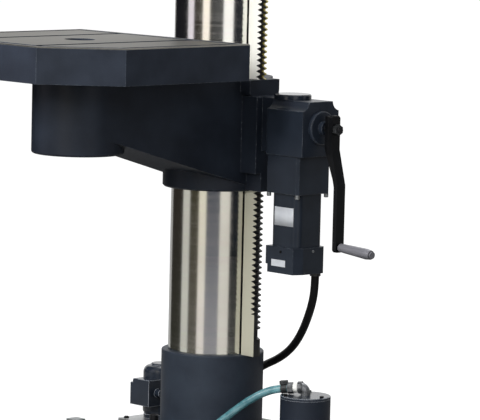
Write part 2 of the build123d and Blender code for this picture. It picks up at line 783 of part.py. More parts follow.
def gearhead():
    half = gearhead_side / 2
    body = box(-half, half, -half, half, gearhead_bottom_z, gearbox_bottom_z)
    body = chamfer(body.edges().filter_by(Axis.Z), gearhead_corner)
    body = Pos(motor_x, 0, 0) * body
    body -= cyl(bevel_shaft_radius + run_gap, gearbox_bottom_z - 28, gearbox_bottom_z + 1, motor_x, 0)
    for x, y in gearhead_screw_places():
        body -= cyl(3 + seat_gap, gearhead_bottom_z - 1, gearhead_bottom_z + 30, x, y)
    return body


def gearhead_screw_places():
    return [(motor_x + i * gearhead_screw_pitch, j * gearhead_screw_pitch) for i in (-1, 1) for j in (-1, 1)]


def gearhead_screws():
    screw = Rot(180, 0, 0) * cap_screw(9, 8, 5, 6, 28)
    return Compound(children=[Pos(x, y, gearhead_bottom_z) * screw for x, y in gearhead_screw_places()])


def lift_motor():
    shell = extrude(RectangleRounded(motor_side, motor_side, motor_corner), motor_height)
    return Pos(motor_x, 0, motor_bottom_z) * shell


def motor_end_box():
    half = end_box_side / 2 + end_box_lip
    shell = plate(end_box_outline(half, end_box_inset), end_box_bottom_z, motor_bottom_z)
    band = plate(end_box_outline(half, 0), motor_bottom_z - end_box_band, motor_bottom_z)
    return shell + band


def end_box_outline(half, inset):
    # square at the back of the motor, with the two corners at its outer side cut off
    left, right = motor_x - half + inset, motor_x + half
    return [(left, -half), (right - end_box_front_cut_x, -half), (right, -half + end_box_front_cut_y),
            (right, half - end_box_rear_cut), (right - end_box_rear_cut, half), (left, half)]


def cable_bush():
    radius = cable_dia / 2 + seat_gap
    low, high = end_box_bottom_z - bush_length, end_box_bottom_z
    ring = cyl(radius + bush_wall, low, high, cable_exit_x, cable_exit_y)
    return ring - cyl(radius, low - 1, high + 1, cable_exit_x, cable_exit_y)


def gland(x, y, z):
    nut = extrude(RegularPolygon(gland_radius, 6), 0.45 * gland_length)
    cone = Pos(0, 0, 0.725 * gland_length) * Cone(gland_radius * 0.9, cable_dia / 2 + 1.6, 0.55 * gland_length)
    shape = nut + cone - cyl(cable_dia / 2 + seat_gap, 0.45 * gland_length, gland_length + 1)
    return Pos(x, y, z) * shape


def crank_arm():
    near, far = crank_x, crank_x + crank_bar_thick
    low_near, low_far = crank_low_x, crank_low_x + crank_bar_thick
    top, bend0, bend1 = worm_z + crank_over, worm_z - crank_bend_start, worm_z - crank_bend_end
    end = grip_axis_z - crank_end
    lift = 0.35 * crank_bar_thick
    body = prism_y([(near, top), (near, bend0), (low_near, bend1), (low_near, end), (low_far, end),
                    (low_far, bend1 + lift), (far, bend0 + lift), (far, top)], crank_bar_width / 2)
    body = fillet(body.edges().filter_by(Axis.Y).filter_by_position(Axis.Z, bend1 - 1, bend0 + lift + 1), 12)
    corners = body.edges().filter_by(Axis.X)
    body = chamfer(corners, 4)
    body -= cyl_x(worm_root_radius, near - 1, far + 1, 0, worm_z)
    return body - grip_placed(Cylinder(grip_pin_radius, 60))


def crank_nut():
    nut = extrude(RegularPolygon(crank_nut_flats / 2, 6, major_radius=False), crank_nut_thick)
    nut = Pos(crank_x + crank_bar_thick, 0, worm_z) * Rot(0, 90, 0) * nut
    return nut - cyl_x(6, crank_x, crank_x + 60, 0, worm_z)


def grip_placed(shape):
    # local Z runs along the grip, from the outer face of the arm
    return Pos(crank_low_x + crank_bar_thick, 0, grip_axis_z) * Rot(0, 90 + grip_droop_deg, 0) * shape


def grip_pin():
    reach = grip_length + 4
    pin = cyl(grip_pin_radius, -crank_bar_thick - 2, reach)
    head = cyl(grip_pin_radius + 2, reach, reach + 2)
    return grip_placed(pin + head)


def crank_grip():
    start, end = 2.0, 2.0 + grip_length
    outline = Polyline((0, start), (grip_small_radius, start), (grip_small_radius + 0.6, start + 6),
                       (grip_large_radius, end - 12), (grip_large_radius - 1.5, end), (0, end), close=True)
    grip = revolve(make_face(Plane.XZ * outline), Axis.Z)
    return grip_placed(grip - cyl(grip_pin_radius + run_gap, start - 1, end + 1))


def clamp_stud():
    y0, y1 = -ear_half_width - 26, ear_half_width
    rod = cyl_y(clamp_stud_radius, y0, y1 + 10, stud_x(), clamp_stud_z)
    head = Pos(stud_x(), y1, clamp_stud_z) * Rot(-90, 0, 0) * extrude(RegularPolygon(15, 6), 11)
    return rod + head


def clamp_lever():
    y1 = -ear_half_width - 0.4
    hub = cyl_y(17, y1 - 24, y1, stud_x(), clamp_stud_z)
    arm = Cone(9, 6.5, clamp_lever_length)
    arm = Pos(stud_x(), y1 - 18, clamp_stud_z + clamp_lever_length / 2 + 8) * Rot(6, 0, 0) * arm
    knob = Pos(stud_x(), y1 - 25, clamp_stud_z + clamp_lever_length + 12) * Sphere(15)
    return hub + arm + knob - cyl_y(clamp_stud_radius + run_gap, y1 - 30, y1 + 1, stud_x(), clamp_stud_z)


def settling_pot():
    body = cyl(pot_radius, base_height, pot_top_z, pot_x, pot_y)
    return body - cyl(pot_radius - pot_wall, base_height + pot_wall, pot_top_z + 1, pot_x, pot_y)


def pot_lid():
    disc = cyl(lid_radius, pot_top_z, pot_top_z + lid_thick, pot_x, pot_y)
    disc = chamfer(disc.edges().group_by(Axis.Z)[-1], 1)
    spigot = cyl(pot_radius - pot_wall - seat_gap, pot_top_z - 6, pot_top_z, pot_x, pot_y)
    for heading in (5, 125, 245):
        x = pot_x + 0.84 * lid_radius * cos(radians(heading))
        y = pot_y + 0.84 * lid_radius * sin(radians(heading))
        disc += cyl(4, pot_top_z, pot_top_z + lid_thick + 3, x, y)
    return disc + spigot


def outlet_z():
    return pot_top_z + lid_thick + elbow_rise + elbow_bend


def outlet_placed(shape):
    # local X runs along the outlet, which slopes down, from the pot's axis
    return Pos(pot_x, pot_y, outlet_z()) * Rot(0, 0, elbow_heading_deg) * Rot(0, elbow_droop_deg, 0) * shape


def outlet_point(along):
    heading, droop = radians(elbow_heading_deg), radians(elbow_droop_deg)
    level = along * cos(droop)
    return (pot_x + level * cos(heading), pot_y + level * sin(heading), outlet_z() - along * sin(droop))


def hose_elbow():
    rise = elbow_rise + elbow_bend
    droop = radians(elbow_droop_deg)
    run_end = elbow_bend + elbow_run
    path = FilletPolyline((0, 0, -rise), (0, 0, 0), (run_end * cos(droop), 0, -run_end * sin(droop)), radius=elbow_bend)
    pipe = sweep(Plane.XY.offset(-rise) * Circle(elbow_radius), path=path)
    pipe += cyl(elbow_radius + elbow_foot_lip, -rise, 7 - rise)
    body = Pos(pot_x, pot_y, outlet_z()) * Rot(0, 0, elbow_heading_deg) * pipe
    body += outlet_placed(cyl_x(elbow_radius + elbow_lip, elbow_collar_at, elbow_collar_at + elbow_collar_width, 0, 0))
    nipple = extrude(RegularPolygon(nipple_flats / 2, 6, major_radius=False), nipple_length)
    body += outlet_placed(Pos(run_end - nipple_length, 0, 0) * Rot(0, 90, 0) * nipple)
    return body + outlet_placed(cyl_x(barb_radius, run_end, run_end + barb_length, 0, 0))


def hose_clamp():
    x0 = elbow_bend + elbow_run + 2
    reach = hose_dia / 2 + 0.1
    band = cyl_x(reach + clamp_thick, x0, x0 + clamp_width, 0, 0) - cyl_x(reach, x0 - 1, x0 + clamp_width + 1, 0, 0)
    housing = box(x0 - 1, x0 + clamp_width + 1, -7, 7, reach + clamp_thick - 0.8, reach + clamp_thick + 6)
    return outlet_placed(band + housing)


def tank_inlet():
    half = inlet_block / 2
    block = box(inlet_x - half, inlet_x + half, inlet_y - half, inlet_y + half, base_height, inlet_z + half)
    block = fillet(block.edges().filter_by(Axis.Z), 5)
    return block + cyl_x(barb_radius, inlet_x + half, inlet_x + half + barb_length, inlet_y, inlet_z)


def return_hose():
    inlet_end = inlet_x + inlet_block / 2 + 1.0
    run_end = elbow_bend + elbow_run
    # past the right of the foot, down over its flange and round the front to the tank inlet
    route = [outlet_point(run_end + 1), outlet_point(run_end + 24),
             (154, -2.8, 229.4), (135, -20.5, 214.4), (121.8, -41.6, 197.6), (113.7, -65.1, 180.8), (109.3, -90.1, 165.4),
             (102.6, -116.9, 154.0), (88.4, -142.5, 146.8), (67.6, -164, 142.1), (41.9, -179.4, 139.0), (9.4, -189.3, 136.6),
             (inlet_end + 40, inlet_y, inlet_z), (inlet_end, inlet_y, inlet_z)]
    tube = cord_tube(route, hose_dia, "return_hose")
    tube -= cyl_x(barb_radius + seat_gap, inlet_end - 2, inlet_end + barb_length, inlet_y, inlet_z)
    return tube - outlet_placed(cyl_x(barb_radius + seat_gap, run_end - 1, run_end + barb_length + 1, 0, 0))


def cable_point(along, z):
    heading = radians(cable_heading_deg)
    return (cable_exit_x + along * cos(heading), cable_exit_y + along * sin(heading), z)


def lift_cable():
    # in one upright plane, from the motor's bush past the back of the foot to the gland on the base
    top = end_box_bottom_z - 2 * seat_gap
    low = base_height + 0.5 * gland_length
    profile = [(0, top), (0, top - 22.8), (7, top - 54.8), (30, top - 92.8), (62, top - 130.8), (107, top - 165.8),
               (172, top - 196.3), (243, top - 219.3), (cable_reach - 54.6, low + 106.8), (cable_reach - 28.4, low + 88.4),
               (cable_reach - 9.6, low + 62.5), (cable_reach, low + 32), (cable_reach, low)]
    return cord_tube([cable_point(along, z) for along, z in profile], cable_dia, "lift_cable")


def head_casting():
    body = box(-head_half_width, head_half_width, head_front_y, 0, head_bottom_z, head_top_z)
    body = fillet(body.edges().filter_by(Axis.Z).sort_by(Axis.Y)[0:2], head_corner_radius)
    clamp_radius = column_radius + head_clamp_wall
    body -= box(-head_half_width - 1, head_half_width + 1, -clamp_radius, 1, head_clamp_top_z, head_top_z + 1)
    body += cyl(clamp_radius, head_bottom_z, head_clamp_top_z)
    nose = cyl(nose_radius, head_bottom_z - nose_length, head_bottom_z, 0, spindle_y)
    body += chamfer(nose.edges().group_by(Axis.Z)[0], 4)
    ear_end = clamp_radius + head_ear_length
    body += box(-30, 30, 0, ear_end, head_bottom_z + 40, head_clamp_top_z - 40)
    body -= box(-head_slit / 2, head_slit / 2, 0, ear_end + 1, head_bottom_z - 1, head_top_z + 1)
    body -= cyl(column_radius + seat_gap, head_bottom_z - 1, head_top_z + 1)
    case = cyl_x(spring_case_radius, -head_half_width - spring_case_thick, -head_half_width, feed_y, feed_z)
    body += fillet(case.edges().group_by(Axis.X)[0], 6)
    collar = cyl_x(26, head_half_width, head_half_width + feed_hub_gap - 0.5, feed_y, feed_z)
    body += collar
    inner = head_half_width - head_wall
    body -= box(-inner, inner, head_front_y + head_front_wall, cavity_rear_y, cavity_bottom_z, head_top_z + 1)
    body -= cyl(quill_radius + slide_gap, head_bottom_z - nose_length - 1, cavity_bottom_z + 1, 0, spindle_y)
    body -= cyl_x(feed_radius + module_feed + 1.5, -feed_pinion_width / 2 - 1.5, feed_pinion_width / 2 + 1.5, feed_y, feed_z)
    body -= cyl_x(feed_shaft_radius + run_gap, -head_half_width + 30, head_half_width + 20, feed_y, feed_z)
    for z in head_screw_heights():
        body -= cyl_x(screw_dia / 2 + seat_gap, -31, 31, head_screw_y(), z)
    for x, z in button_places() + [(panel_mid_x(), estop_z)]:
        body -= cyl_y(button_stem_radius + button_gap, head_front_y - 1, head_front_y + 2, x, z)
    body -= cyl_y(8 + run_gap, head_front_y - 1, head_front_y + 12, gear_lever_x, gear_lever_z)
    return body


def head_screw_heights():
    return (head_bottom_z + 85, head_clamp_top_z - 85)


def head_screw_y():
    return column_radius + head_clamp_wall + head_ear_length / 2


def head_lid():
    lid = box(-head_half_width, head_half_width, head_front_y, cavity_rear_y + 30, head_top_z, lid_z)
    lid = fillet(lid.edges().filter_by(Axis.Z).sort_by(Axis.Y)[0:2], head_corner_radius)
    lid = chamfer(lid.faces().sort_by(Axis.Z)[-1].outer_wire().edges(), 3)
    tower = cyl(cap_tube_radius, lid_z, cap_tube_top_z, 0, spindle_y)
    lid += fillet(tower.edges().group_by(Axis.Z)[-1], 6)
    lid -= cyl(drive_radius + 3, head_top_z - 1, cap_tube_top_z - 5, 0, spindle_y)
    return lid - cyl(drive_shaft_radius + clear_gap, head_top_z - 1, lid_z + 1, 0, drive_motor_y)


def drive_motor():
    z0 = lid_z + drive_flange_thick
    flange = cyl(drive_flange_radius, lid_z, z0)
    fins = Pos(0, 0, z0) * extrude(make_face(Polyline(
        *fin_outline(drive_motor_radius, drive_fin_depth, drive_fin_count), close=True)), drive_motor_height)
    body = Pos(0, drive_motor_y, 0) * (flange + fins)
    return body - cyl(drive_shaft_radius + run_gap, lid_z - 1, lid_z + 60, 0, drive_motor_y)


def motor_cowl():
    z0 = lid_z + drive_flange_thick + drive_motor_height
    shell = cyl(cowl_radius, z0, z0 + cowl_height)
    shell = fillet(shell.edges().group_by(Axis.Z)[-1], 22)
    for k in range(12):
        angle = radians(30 * k)
        x, y = 52 * cos(angle), 52 * sin(angle)
        shell -= cyl(7, z0 + cowl_height - 12, z0 + cowl_height + 1, x, y)
    shell -= cyl(cowl_radius - cowl_wall, z0 - 1, z0 + cowl_height - 16)
    return Pos(0, drive_motor_y, 0) * shell


def motor_terminal_box():
    z0 = lid_z + drive_flange_thick + 50
    face = drive_motor_radius + drive_fin_depth + 0.3
    shell = box(face, face + 44, drive_motor_y - 50, drive_motor_y + 50, z0, z0 + 90)
    shell = fillet(shell.edges().filter_by(Axis.X), 8)
    return chamfer(shell.faces().sort_by(Axis.X)[-1].outer_wire().edges(), 3)


def quill():
    body = cyl(quill_radius, quill_bottom_z, quill_top_z, 0, spindle_y)
    body -= cyl(quill_bore_radius, quill_bottom_z - 1, quill_top_z + 1, 0, spindle_y)
    pitch = pi * module_feed
    half = feed_pinion_width / 2 + 1
    tip = spindle_y + feed_pitch_offset + module_feed
    root = spindle_y + feed_pitch_offset - 1.25 * module_feed
    low, high = feed_z - 2 * pitch, quill_top_z + 1
    body -= box(-half, half, tip, spindle_y + quill_radius + 1, low, high)
    lean = tan(radians(20))
    tip_half = 0.265 * pitch + module_feed * lean
    root_half = 0.265 * pitch - 1.25 * module_feed * lean
    # a gap lies level with the feed shaft's axis
    for gap in range(-1, int((high - feed_z) / pitch) + 1):
        z = feed_z + gap * pitch
        body -= prism_x([(tip + 0.5, z - tip_half), (root, z - root_half), (root, z + root_half),
                         (tip + 0.5, z + tip_half)], -half, half)
    return body


def spindle_bearings():
    rings = []
    for z in (quill_bottom_z + 4, quill_top_z - 4 - bearing_height):
        ring = cyl(quill_bore_radius - seat_gap, z, z + bearing_height, 0, spindle_y)
        rings.append(ring - cyl(spindle_radius + run_gap, z - 1, z + bearing_height + 1, 0, spindle_y))
    return Compound(children=rings)


def spindle():
    shaft = cyl(spindle_radius, quill_bottom_z - 4, quill_top_z + 6, 0, spindle_y)
    nose = cyl(spindle_nose_radius, spindle_nose_z, quill_bottom_z - 4, 0, spindle_y)
    nose = chamfer(nose.edges().group_by(Axis.Z)[0], 3)
    drive = cyl(drive_radius, quill_top_z + 6, drive_top_z, 0, spindle_y)
    arbor = cyl(arbor_radius, chuck_top_z - 20, spindle_nose_z, 0, spindle_y)
    return shaft + nose + drive + arbor


def drill_chuck():
    z1 = chuck_top_z
    z0 = z1 - chuck_length
    r = chuck_radius
    outline = Polyline((0, z1), (0.8 * r, z1), (r, z1 - 6), (r, z1 - 58), (0.93 * r, z1 - 62), (0.55 * r, z0), (0, z0),
                       close=True)
    body = Pos(0, spindle_y, 0) * revolve(make_face(Plane.XZ * outline), Axis.Z)
    body -= cyl(arbor_radius + 0.05, z1 - 20.5, z1 + 1, 0, spindle_y)
    return body - cyl(chuck_mouth_radius, z0 - 1, z0 + jaw_length, 0, spindle_y)


def chuck_jaws():
    z0 = chuck_top_z - chuck_length
    jaws = []
    for k in range(3):
        jaw = box(1.2, chuck_mouth_radius - 0.4, -2.4, 2.4, z0 - 7, z0 + jaw_length - 1)
        jaws.append(Pos(0, spindle_y, 0) * Rot(0, 0, 90 + 120 * k) * jaw)
    return Compound(children=jaws)


def drive_gear():
    outline = gear_outline(drive_gear_teeth, module_drive, 0.45, -90 + 180 / drive_gear_teeth)
    wheel = extrude(make_face(Polyline(*outline, close=True)), drive_gear_width)
    web = Pos(0, 0, drive_gear_width - 6) * (Cylinder(70, 20) - Cylinder(30, 20))
    rim = cyl(28, 0, drive_gear_width + 14)
    placed = Pos(0, spindle_y, drive_gear_z) * (wheel - Pos(0, 0, 12) * web + rim)
    return placed - cyl(drive_radius + run_gap, drive_gear_z - 20, drive_gear_z + 60, 0, spindle_y)


def motor_pinion():
    outline = gear_outline(motor_pinion_teeth, module_drive, 0.45, -90)
    wheel = Pos(0, drive_motor_y, drive_gear_z) * extrude(make_face(Polyline(*outline, close=True)), drive_gear_width)
    return wheel + cyl(drive_shaft_radius, drive_gear_z - 4, lid_z + 58, 0, drive_motor_y)


def feed_shaft():
    outline = gear_outline(feed_teeth, module_feed, 0.43, -90)
    pinion = extrude(make_face(Polyline(*outline, close=True)), feed_pinion_width / 2, both=True)
    # local X turns to -Z and local Y stays, so a tooth points at the quill
    pinion = Pos(0, feed_y, feed_z) * Rot(0, 90, 0) * pinion
    hub_end = head_half_width + feed_hub_gap + feed_hub_length - 6.5
    return pinion + cyl_x(feed_shaft_radius, -head_half_width + 31, hub_end, feed_y, feed_z)


def feed_hub():
    x0 = head_half_width + feed_hub_gap
    body = cyl_x(feed_hub_radius, x0, x0 + feed_hub_length, feed_y, feed_z)
    body = fillet(body.edges().group_by(Axis.X)[-1], 8)
    body -= cyl_x(feed_shaft_radius, x0 - 1, x0 + feed_hub_length - 6, feed_y, feed_z)
    for lever in lever_frames():
        body -= lever * cyl(feed_lever_radius + seat_gap, feed_hub_radius - 16, feed_hub_radius + 20)
    return body


def lever_frames():
    # local Z runs out along a lever, which leans away from the head
    x = head_half_width + feed_hub_gap + 0.55 * feed_hub_length
    hub = Pos(x, feed_y, feed_z)
    return [hub * Rot(90 + 120 * k, 0, 0) * Rot(0, 8, 0) for k in range(feed_lever_count)]


def feed_levers():
    rods = [f * cyl(feed_lever_radius, feed_hub_radius - 15, feed_lever_length) for f in lever_frames()]
    return Compound(children=rods)


def feed_knobs():
    knob = Sphere(feed_knob_radius) - cyl(feed_lever_radius + seat_gap, -30, 0)
    return Compound(children=[f * Pos(0, 0, feed_lever_length) * knob for f in lever_frames()])


def panel_mid_x():
    return (panel_x0 + panel_x1) / 2


def button_places():
    return [(panel_mid_x() - 38, button_row_z), (panel_mid_x() + 38, button_row_z)]


def control_panel():
    body = box(panel_x0, panel_x1, panel_face_y, head_front_y, panel_z0, panel_z1)
    body = fillet(body.edges().filter_by(Axis.Y), 10)
    body = chamfer(body.faces().sort_by(Axis.Y)[0].outer_wire().edges(), 3)
    for x, z in button_places() + [(panel_mid_x(), estop_z)]:
        body -= cyl_y(button_stem_radius + button_gap, panel_face_y - 1, head_front_y + 1, x, z)
    return body


def push_button(x, z, radius, travel):
    stem = cyl_y(button_stem_radius, panel_face_y - travel - 0.4, head_front_y - travel - 0.5, x, z)
    cap = cyl_y(radius, panel_face_y - travel - 0.4 - button_reach, panel_face_y - travel - 0.4, x, z)
    return stem + fillet(cap.edges().group_by(Axis.Y)[0], 2.5)


def gear_lever():
    y1 = head_front_y - 0.4
    hub = cyl_y(gear_lever_hub, y1 - 22, y1, gear_lever_x, gear_lever_z)
    pin = cyl_y(8, y1, head_front_y + 11, gear_lever_x, gear_lever_z)
    rod = Pos(gear_lever_x, y1 - 12, gear_lever_z + gear_lever_length / 2) * Cone(6.5, 5, gear_lever_length)
    knob = Pos(gear_lever_x, y1 - 12, gear_lever_z + gear_lever_length) * Sphere(12)
    return hub + pin + rod + knob


pieces = {
    "base_plate": base_plate, "tank_cover": tank_cover, "coolant_pump": coolant_pump,
    "pump_terminal_box": pump_terminal_box, "column": column, "column_cap": column_cap, "column_foot": column_foot,
    "frame_screws": frame_screws, "column_rack": column_rack, "rack_collar": rack_collar,
    "table_bracket": table_bracket, "work_table": work_table, "table_screws": table_screws,
    "lift_gear": lift_gear, "worm_shaft": worm_shaft,
    "worm_bevel": worm_bevel, "motor_bevel": motor_bevel, "lift_gearbox": lift_gearbox,
    "gearbox_cap": gearbox_cap, "crank_flange": crank_flange, "gearhead": gearhead,
    "gearhead_screws": gearhead_screws, "lift_motor": lift_motor, "motor_end_box": motor_end_box,
    "cable_bush": cable_bush,
    "base_gland": lambda: gland(*cable_point(cable_reach, base_height)),
    "lift_cable": lift_cable, "crank_arm": crank_arm, "crank_nut": crank_nut, "grip_pin": grip_pin,
    "crank_grip": crank_grip, "clamp_stud": clamp_stud, "clamp_lever": clamp_lever,
    "settling_pot": settling_pot, "pot_lid": pot_lid, "hose_elbow": hose_elbow, "hose_clamp": hose_clamp,
    "tank_inlet": tank_inlet, "return_hose": return_hose, "head_casting": head_casting,
    "head_lid": head_lid, "drive_motor": drive_motor, "motor_cowl": motor_cowl,
    "motor_terminal_box": motor_terminal_box, "quill": quill,
    "spindle_bearings": spindle_bearings, "spindle": spindle, "drill_chuck": drill_chuck, "chuck_jaws": chuck_jaws,
    "drive_gear": drive_gear, "motor_pinion": motor_pinion, "feed_shaft": feed_shaft,
    "feed_hub": feed_hub, "feed_levers": feed_levers, "feed_knobs": feed_knobs,
    "control_panel": control_panel, "gear_lever": gear_lever,
    "start_button": lambda: push_button(*button_places()[0], button_radius, button_travel),
    "stop_button": lambda: push_button(*button_places()[1], button_radius, button_travel),
    "emergency_stop": lambda: push_button(panel_mid_x(), estop_z, estop_radius, button_travel),
}

if __name__ == "__main__":
    for name, make in pieces.items():
        export_step(make(), f"parts/{name}.step")
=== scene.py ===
import math

import bpy
import numpy as np
from mathutils import Matrix, Vector


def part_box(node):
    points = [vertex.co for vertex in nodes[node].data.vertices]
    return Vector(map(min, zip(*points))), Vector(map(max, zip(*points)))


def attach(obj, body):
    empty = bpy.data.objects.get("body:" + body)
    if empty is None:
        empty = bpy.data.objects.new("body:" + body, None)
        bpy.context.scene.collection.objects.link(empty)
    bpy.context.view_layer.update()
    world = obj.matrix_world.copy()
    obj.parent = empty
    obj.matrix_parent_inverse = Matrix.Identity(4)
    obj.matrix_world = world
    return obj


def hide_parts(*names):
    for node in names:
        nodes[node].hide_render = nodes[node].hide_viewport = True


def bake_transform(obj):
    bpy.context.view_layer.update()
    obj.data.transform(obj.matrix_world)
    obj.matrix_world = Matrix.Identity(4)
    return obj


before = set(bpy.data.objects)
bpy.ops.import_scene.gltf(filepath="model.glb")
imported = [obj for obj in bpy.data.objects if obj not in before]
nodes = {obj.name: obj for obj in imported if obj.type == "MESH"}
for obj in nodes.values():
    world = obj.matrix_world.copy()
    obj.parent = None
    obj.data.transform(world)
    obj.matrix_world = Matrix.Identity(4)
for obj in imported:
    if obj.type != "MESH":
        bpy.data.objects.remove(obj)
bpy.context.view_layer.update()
scene = bpy.context.scene
print("frame loaded:", len(nodes), "nodes")


# small helpers

def hexLinear(code):  # sRGB hex to linear
    c = np.array([int(code[i:i + 2], 16) for i in (1, 3, 5)]) / 255
    c = np.where(c <= 0.04045, c / 12.92, ((c + 0.055) / 1.055) ** 2.4)
    return (*map(float, c), 1.0)


def grey(level):
    return (level, level, level, 1.0)


def perMm(size):  # pattern scale for a feature of that many mm, in metres of object space
    return 1000 / size


def put(tree, kind, sockets=None, **settings):
    # adds a node with its settings, and gives its sockets, by name or number, a value or a link
    node = tree.nodes.new(kind)
    for name, value in settings.items():
        setattr(node, name, value)
    for name, value in (sockets or {}).items():
        socket = node.inputs[name]
        if isinstance(value, bpy.types.NodeSocket):
            tree.links.new(value, socket)
        else:
            socket.default_value = value
    return node


def calc(tree, operation, *terms, **settings):  # one sum of its terms
    return put(tree, "ShaderNodeMath", dict(enumerate(terms)), operation=operation, **settings).outputs[0]


def remap(tree, value, start=0.0, stop=1.0, low=0.0, high=1.0):
    # start to stop becomes low to high, held past both ends
    return put(tree, "ShaderNodeMapRange", {"Value": value, 1: start, 2: stop, 3: low, 4: high}).outputs[0]


def ramp(tree, factor, start, stop):  # from one (position, colour) pair to the other
    node = put(tree, "ShaderNodeValToRGB", {"Fac": factor})
    for element, (position, colour) in zip(node.color_ramp.elements, (start, stop)):
        element.position = position
        element.color = colour
    return node.outputs["Color"]


def twoTones(tree, factor, band, codes):  # the first hex tone below the band, the second above it
    return ramp(tree, factor, *zip(band, map(hexLinear, codes)))


def mixTone(tree, factor, first, second, **settings):  # the first colour at 0, the second at 1
    sockets = {0: factor, 6: first, 7: second}
    return put(tree, "ShaderNodeMix", sockets, data_type="RGBA", **settings).outputs[2]


def noise(tree, place, sizeMm, detail, **sockets):  # a cloudy pattern with lumps of about that many mm
    sockets = {"Vector": place, "Scale": perMm(sizeMm), "Detail": detail, **sockets}
    return put(tree, "ShaderNodeTexNoise", sockets).outputs["Fac"]


def lineNoise(tree, place, scales):  # a pattern drawn out into lines along the axes with the small scales
    drawnOut = put(tree, "ShaderNodeMapping", {"Vector": place, "Scale": scales}).outputs[0]
    return put(tree, "ShaderNodeTexNoise", {"Vector": drawnOut, "Scale": 1.0, "Detail": 4.0}).outputs


def bump(tree, height, strength, depthMm, **sockets):
    sockets = {"Height": height, "Strength": strength, "Distance": depthMm / 1000, **sockets}
    return put(tree, "ShaderNodeBump", sockets).outputs[0]


def parts(tree, vector):  # x, y and z of a vector
    return put(tree, "ShaderNodeSeparateXYZ", {0: vector}).outputs


def surfaceNormal(tree):
    return put(tree, "ShaderNodeNewGeometry").outputs["Normal"]


def startMaterial(name):  # an empty material, its nodes and the place on the piece
    mat = bpy.data.materials.new(name)
    mat.use_nodes = True
    tree = mat.node_tree
    tree.nodes.clear()
    return mat, tree, put(tree, "ShaderNodeTexCoord").outputs["Object"]


def showSurface(mat, shader):
    put(mat.node_tree, "ShaderNodeOutputMaterial", {"Surface": shader.outputs[0]})
    return mat


def finishMaterial(mat, sockets):
    return showSurface(mat, put(mat.node_tree, "ShaderNodeBsdfPrincipled", sockets))


# materials

# the rounded normal's cosine to the true one, where an edge starts to show and where it shows in full
edgeTurn = (0.995, 0.90)
enamel = {"edgeMm": 1.8, "cloudMm": 70, "cloudBand": (0.32, 0.74), "chipMm": 9, "chipRough": 0.7,
          "edgeLevels": (0.05, 1.0), "peelDepthMm": 1.0, "coatRough": 0.2, "specular": 0.2}


def roundedEdge(tree, radiusMm):  # a normal that rounds the edges, and a mask that is 1 along them
    soft = put(tree, "ShaderNodeBevel", {"Radius": radiusMm / 1000}, samples=6).outputs[0]
    along = put(tree, "ShaderNodeVectorMath", {0: soft, 1: surfaceNormal(tree)}, operation="DOT_PRODUCT")
    return soft, remap(tree, along.outputs["Value"], *edgeTurn)


def wornLitEnamel(tree, place, edge, tones, edgeBand, edgeLevels):
    # a slow cloud between the first two tones, turning to the third in broken patches along the edges: partly
    # enamel rubbed through, partly a painted highlight on the edge
    cloud = noise(tree, place, enamel["cloudMm"], detail=5.0)
    paint = twoTones(tree, cloud, enamel["cloudBand"], tones[:2])
    edgeBreakup = noise(tree, place, enamel["chipMm"], detail=6.0, Roughness=enamel["chipRough"])
    wearAndHighlight = calc(tree, "MULTIPLY", edge, ramp(tree, edgeBreakup, *zip(edgeBand, map(grey, edgeLevels))))
    return cloud, mixTone(tree, wearAndHighlight, paint, hexLinear(tones[2]))


def machinePaint(name, tones, peelMm, peel, rough, coat, edgeBand=(0.5, 0.7)):
    # two-pack machine enamel sprayed on iron: soft gloss, faint orange peel, and a paler edge that is partly
    # rubbed through and partly a painted highlight
    mat, tree, place = startMaterial(name)
    soft, edge = roundedEdge(tree, enamel["edgeMm"])
    cloud, wornLitPaint = wornLitEnamel(tree, place, edge, tones, edgeBand, enamel["edgeLevels"])
    skin = bump(tree, noise(tree, place, peelMm, detail=3.0), peel, enamel["peelDepthMm"], Normal=soft)
    return finishMaterial(mat, {
        "Base Color": wornLitPaint, "Roughness": remap(tree, cloud, 0.0, 1.0, *rough), "Normal": skin,
        "Coat Weight": coat, "Coat Roughness": enamel["coatRough"], "Specular IOR Level": enamel["specular"]})


grinding = {"aroundScale": 6.0, "ringBand": (0.3, 0.7), "ringBump": 0.05, "ringDepthMm": 0.4, "filmMm": 120,
            "filmBand": (0.3, 0.75), "filmTone": "#E2E1DB"}


def groundSteel(name, tone, lineMm, rough, streak):
    # steel ground round its axis: fine rings round Z in tone, roughness and bump, with a slow oily cloud
    g = grinding
    mat, tree, place = startMaterial(name)
    lines = lineNoise(tree, place, (g["aroundScale"], g["aroundScale"], perMm(lineMm)))
    film = twoTones(tree, noise(tree, place, g["filmMm"], detail=4.0), g["filmBand"], (tone, g["filmTone"]))
    return finishMaterial(mat, {
        "Base Color": mixTone(tree, streak, film, lines["Color"], blend_type="SOFT_LIGHT"), "Metallic": 1.0,
        "Roughness": remap(tree, lines["Fac"], *g["ringBand"], *rough),
        "Normal": bump(tree, lines["Fac"], g["ringBump"], g["ringDepthMm"])})


# where the gaps between the teeth lie, and how the painted shade in a gap narrows and fades towards the
# rack's back
rackTeeth = {"gapZ": 0.734, "pitch": math.pi * 0.0035, "rootX": 0.1201, "gapHalf": 0.0015, "creep": 0.0042,
             "plainTop": 0.383, "closed": -0.0004, "fade": (-0.0003, 0.0004)}
rackGreaseAndLight = {"smearMm": 4, "smearShare": 0.5, "cheeks": (0.62, 0.86), "farGlint": (0.006, 0.003),
              "paler": (0.6, 0.9), "metallic": (0.1, 0.45), "rough": (0.3, 0.5)}


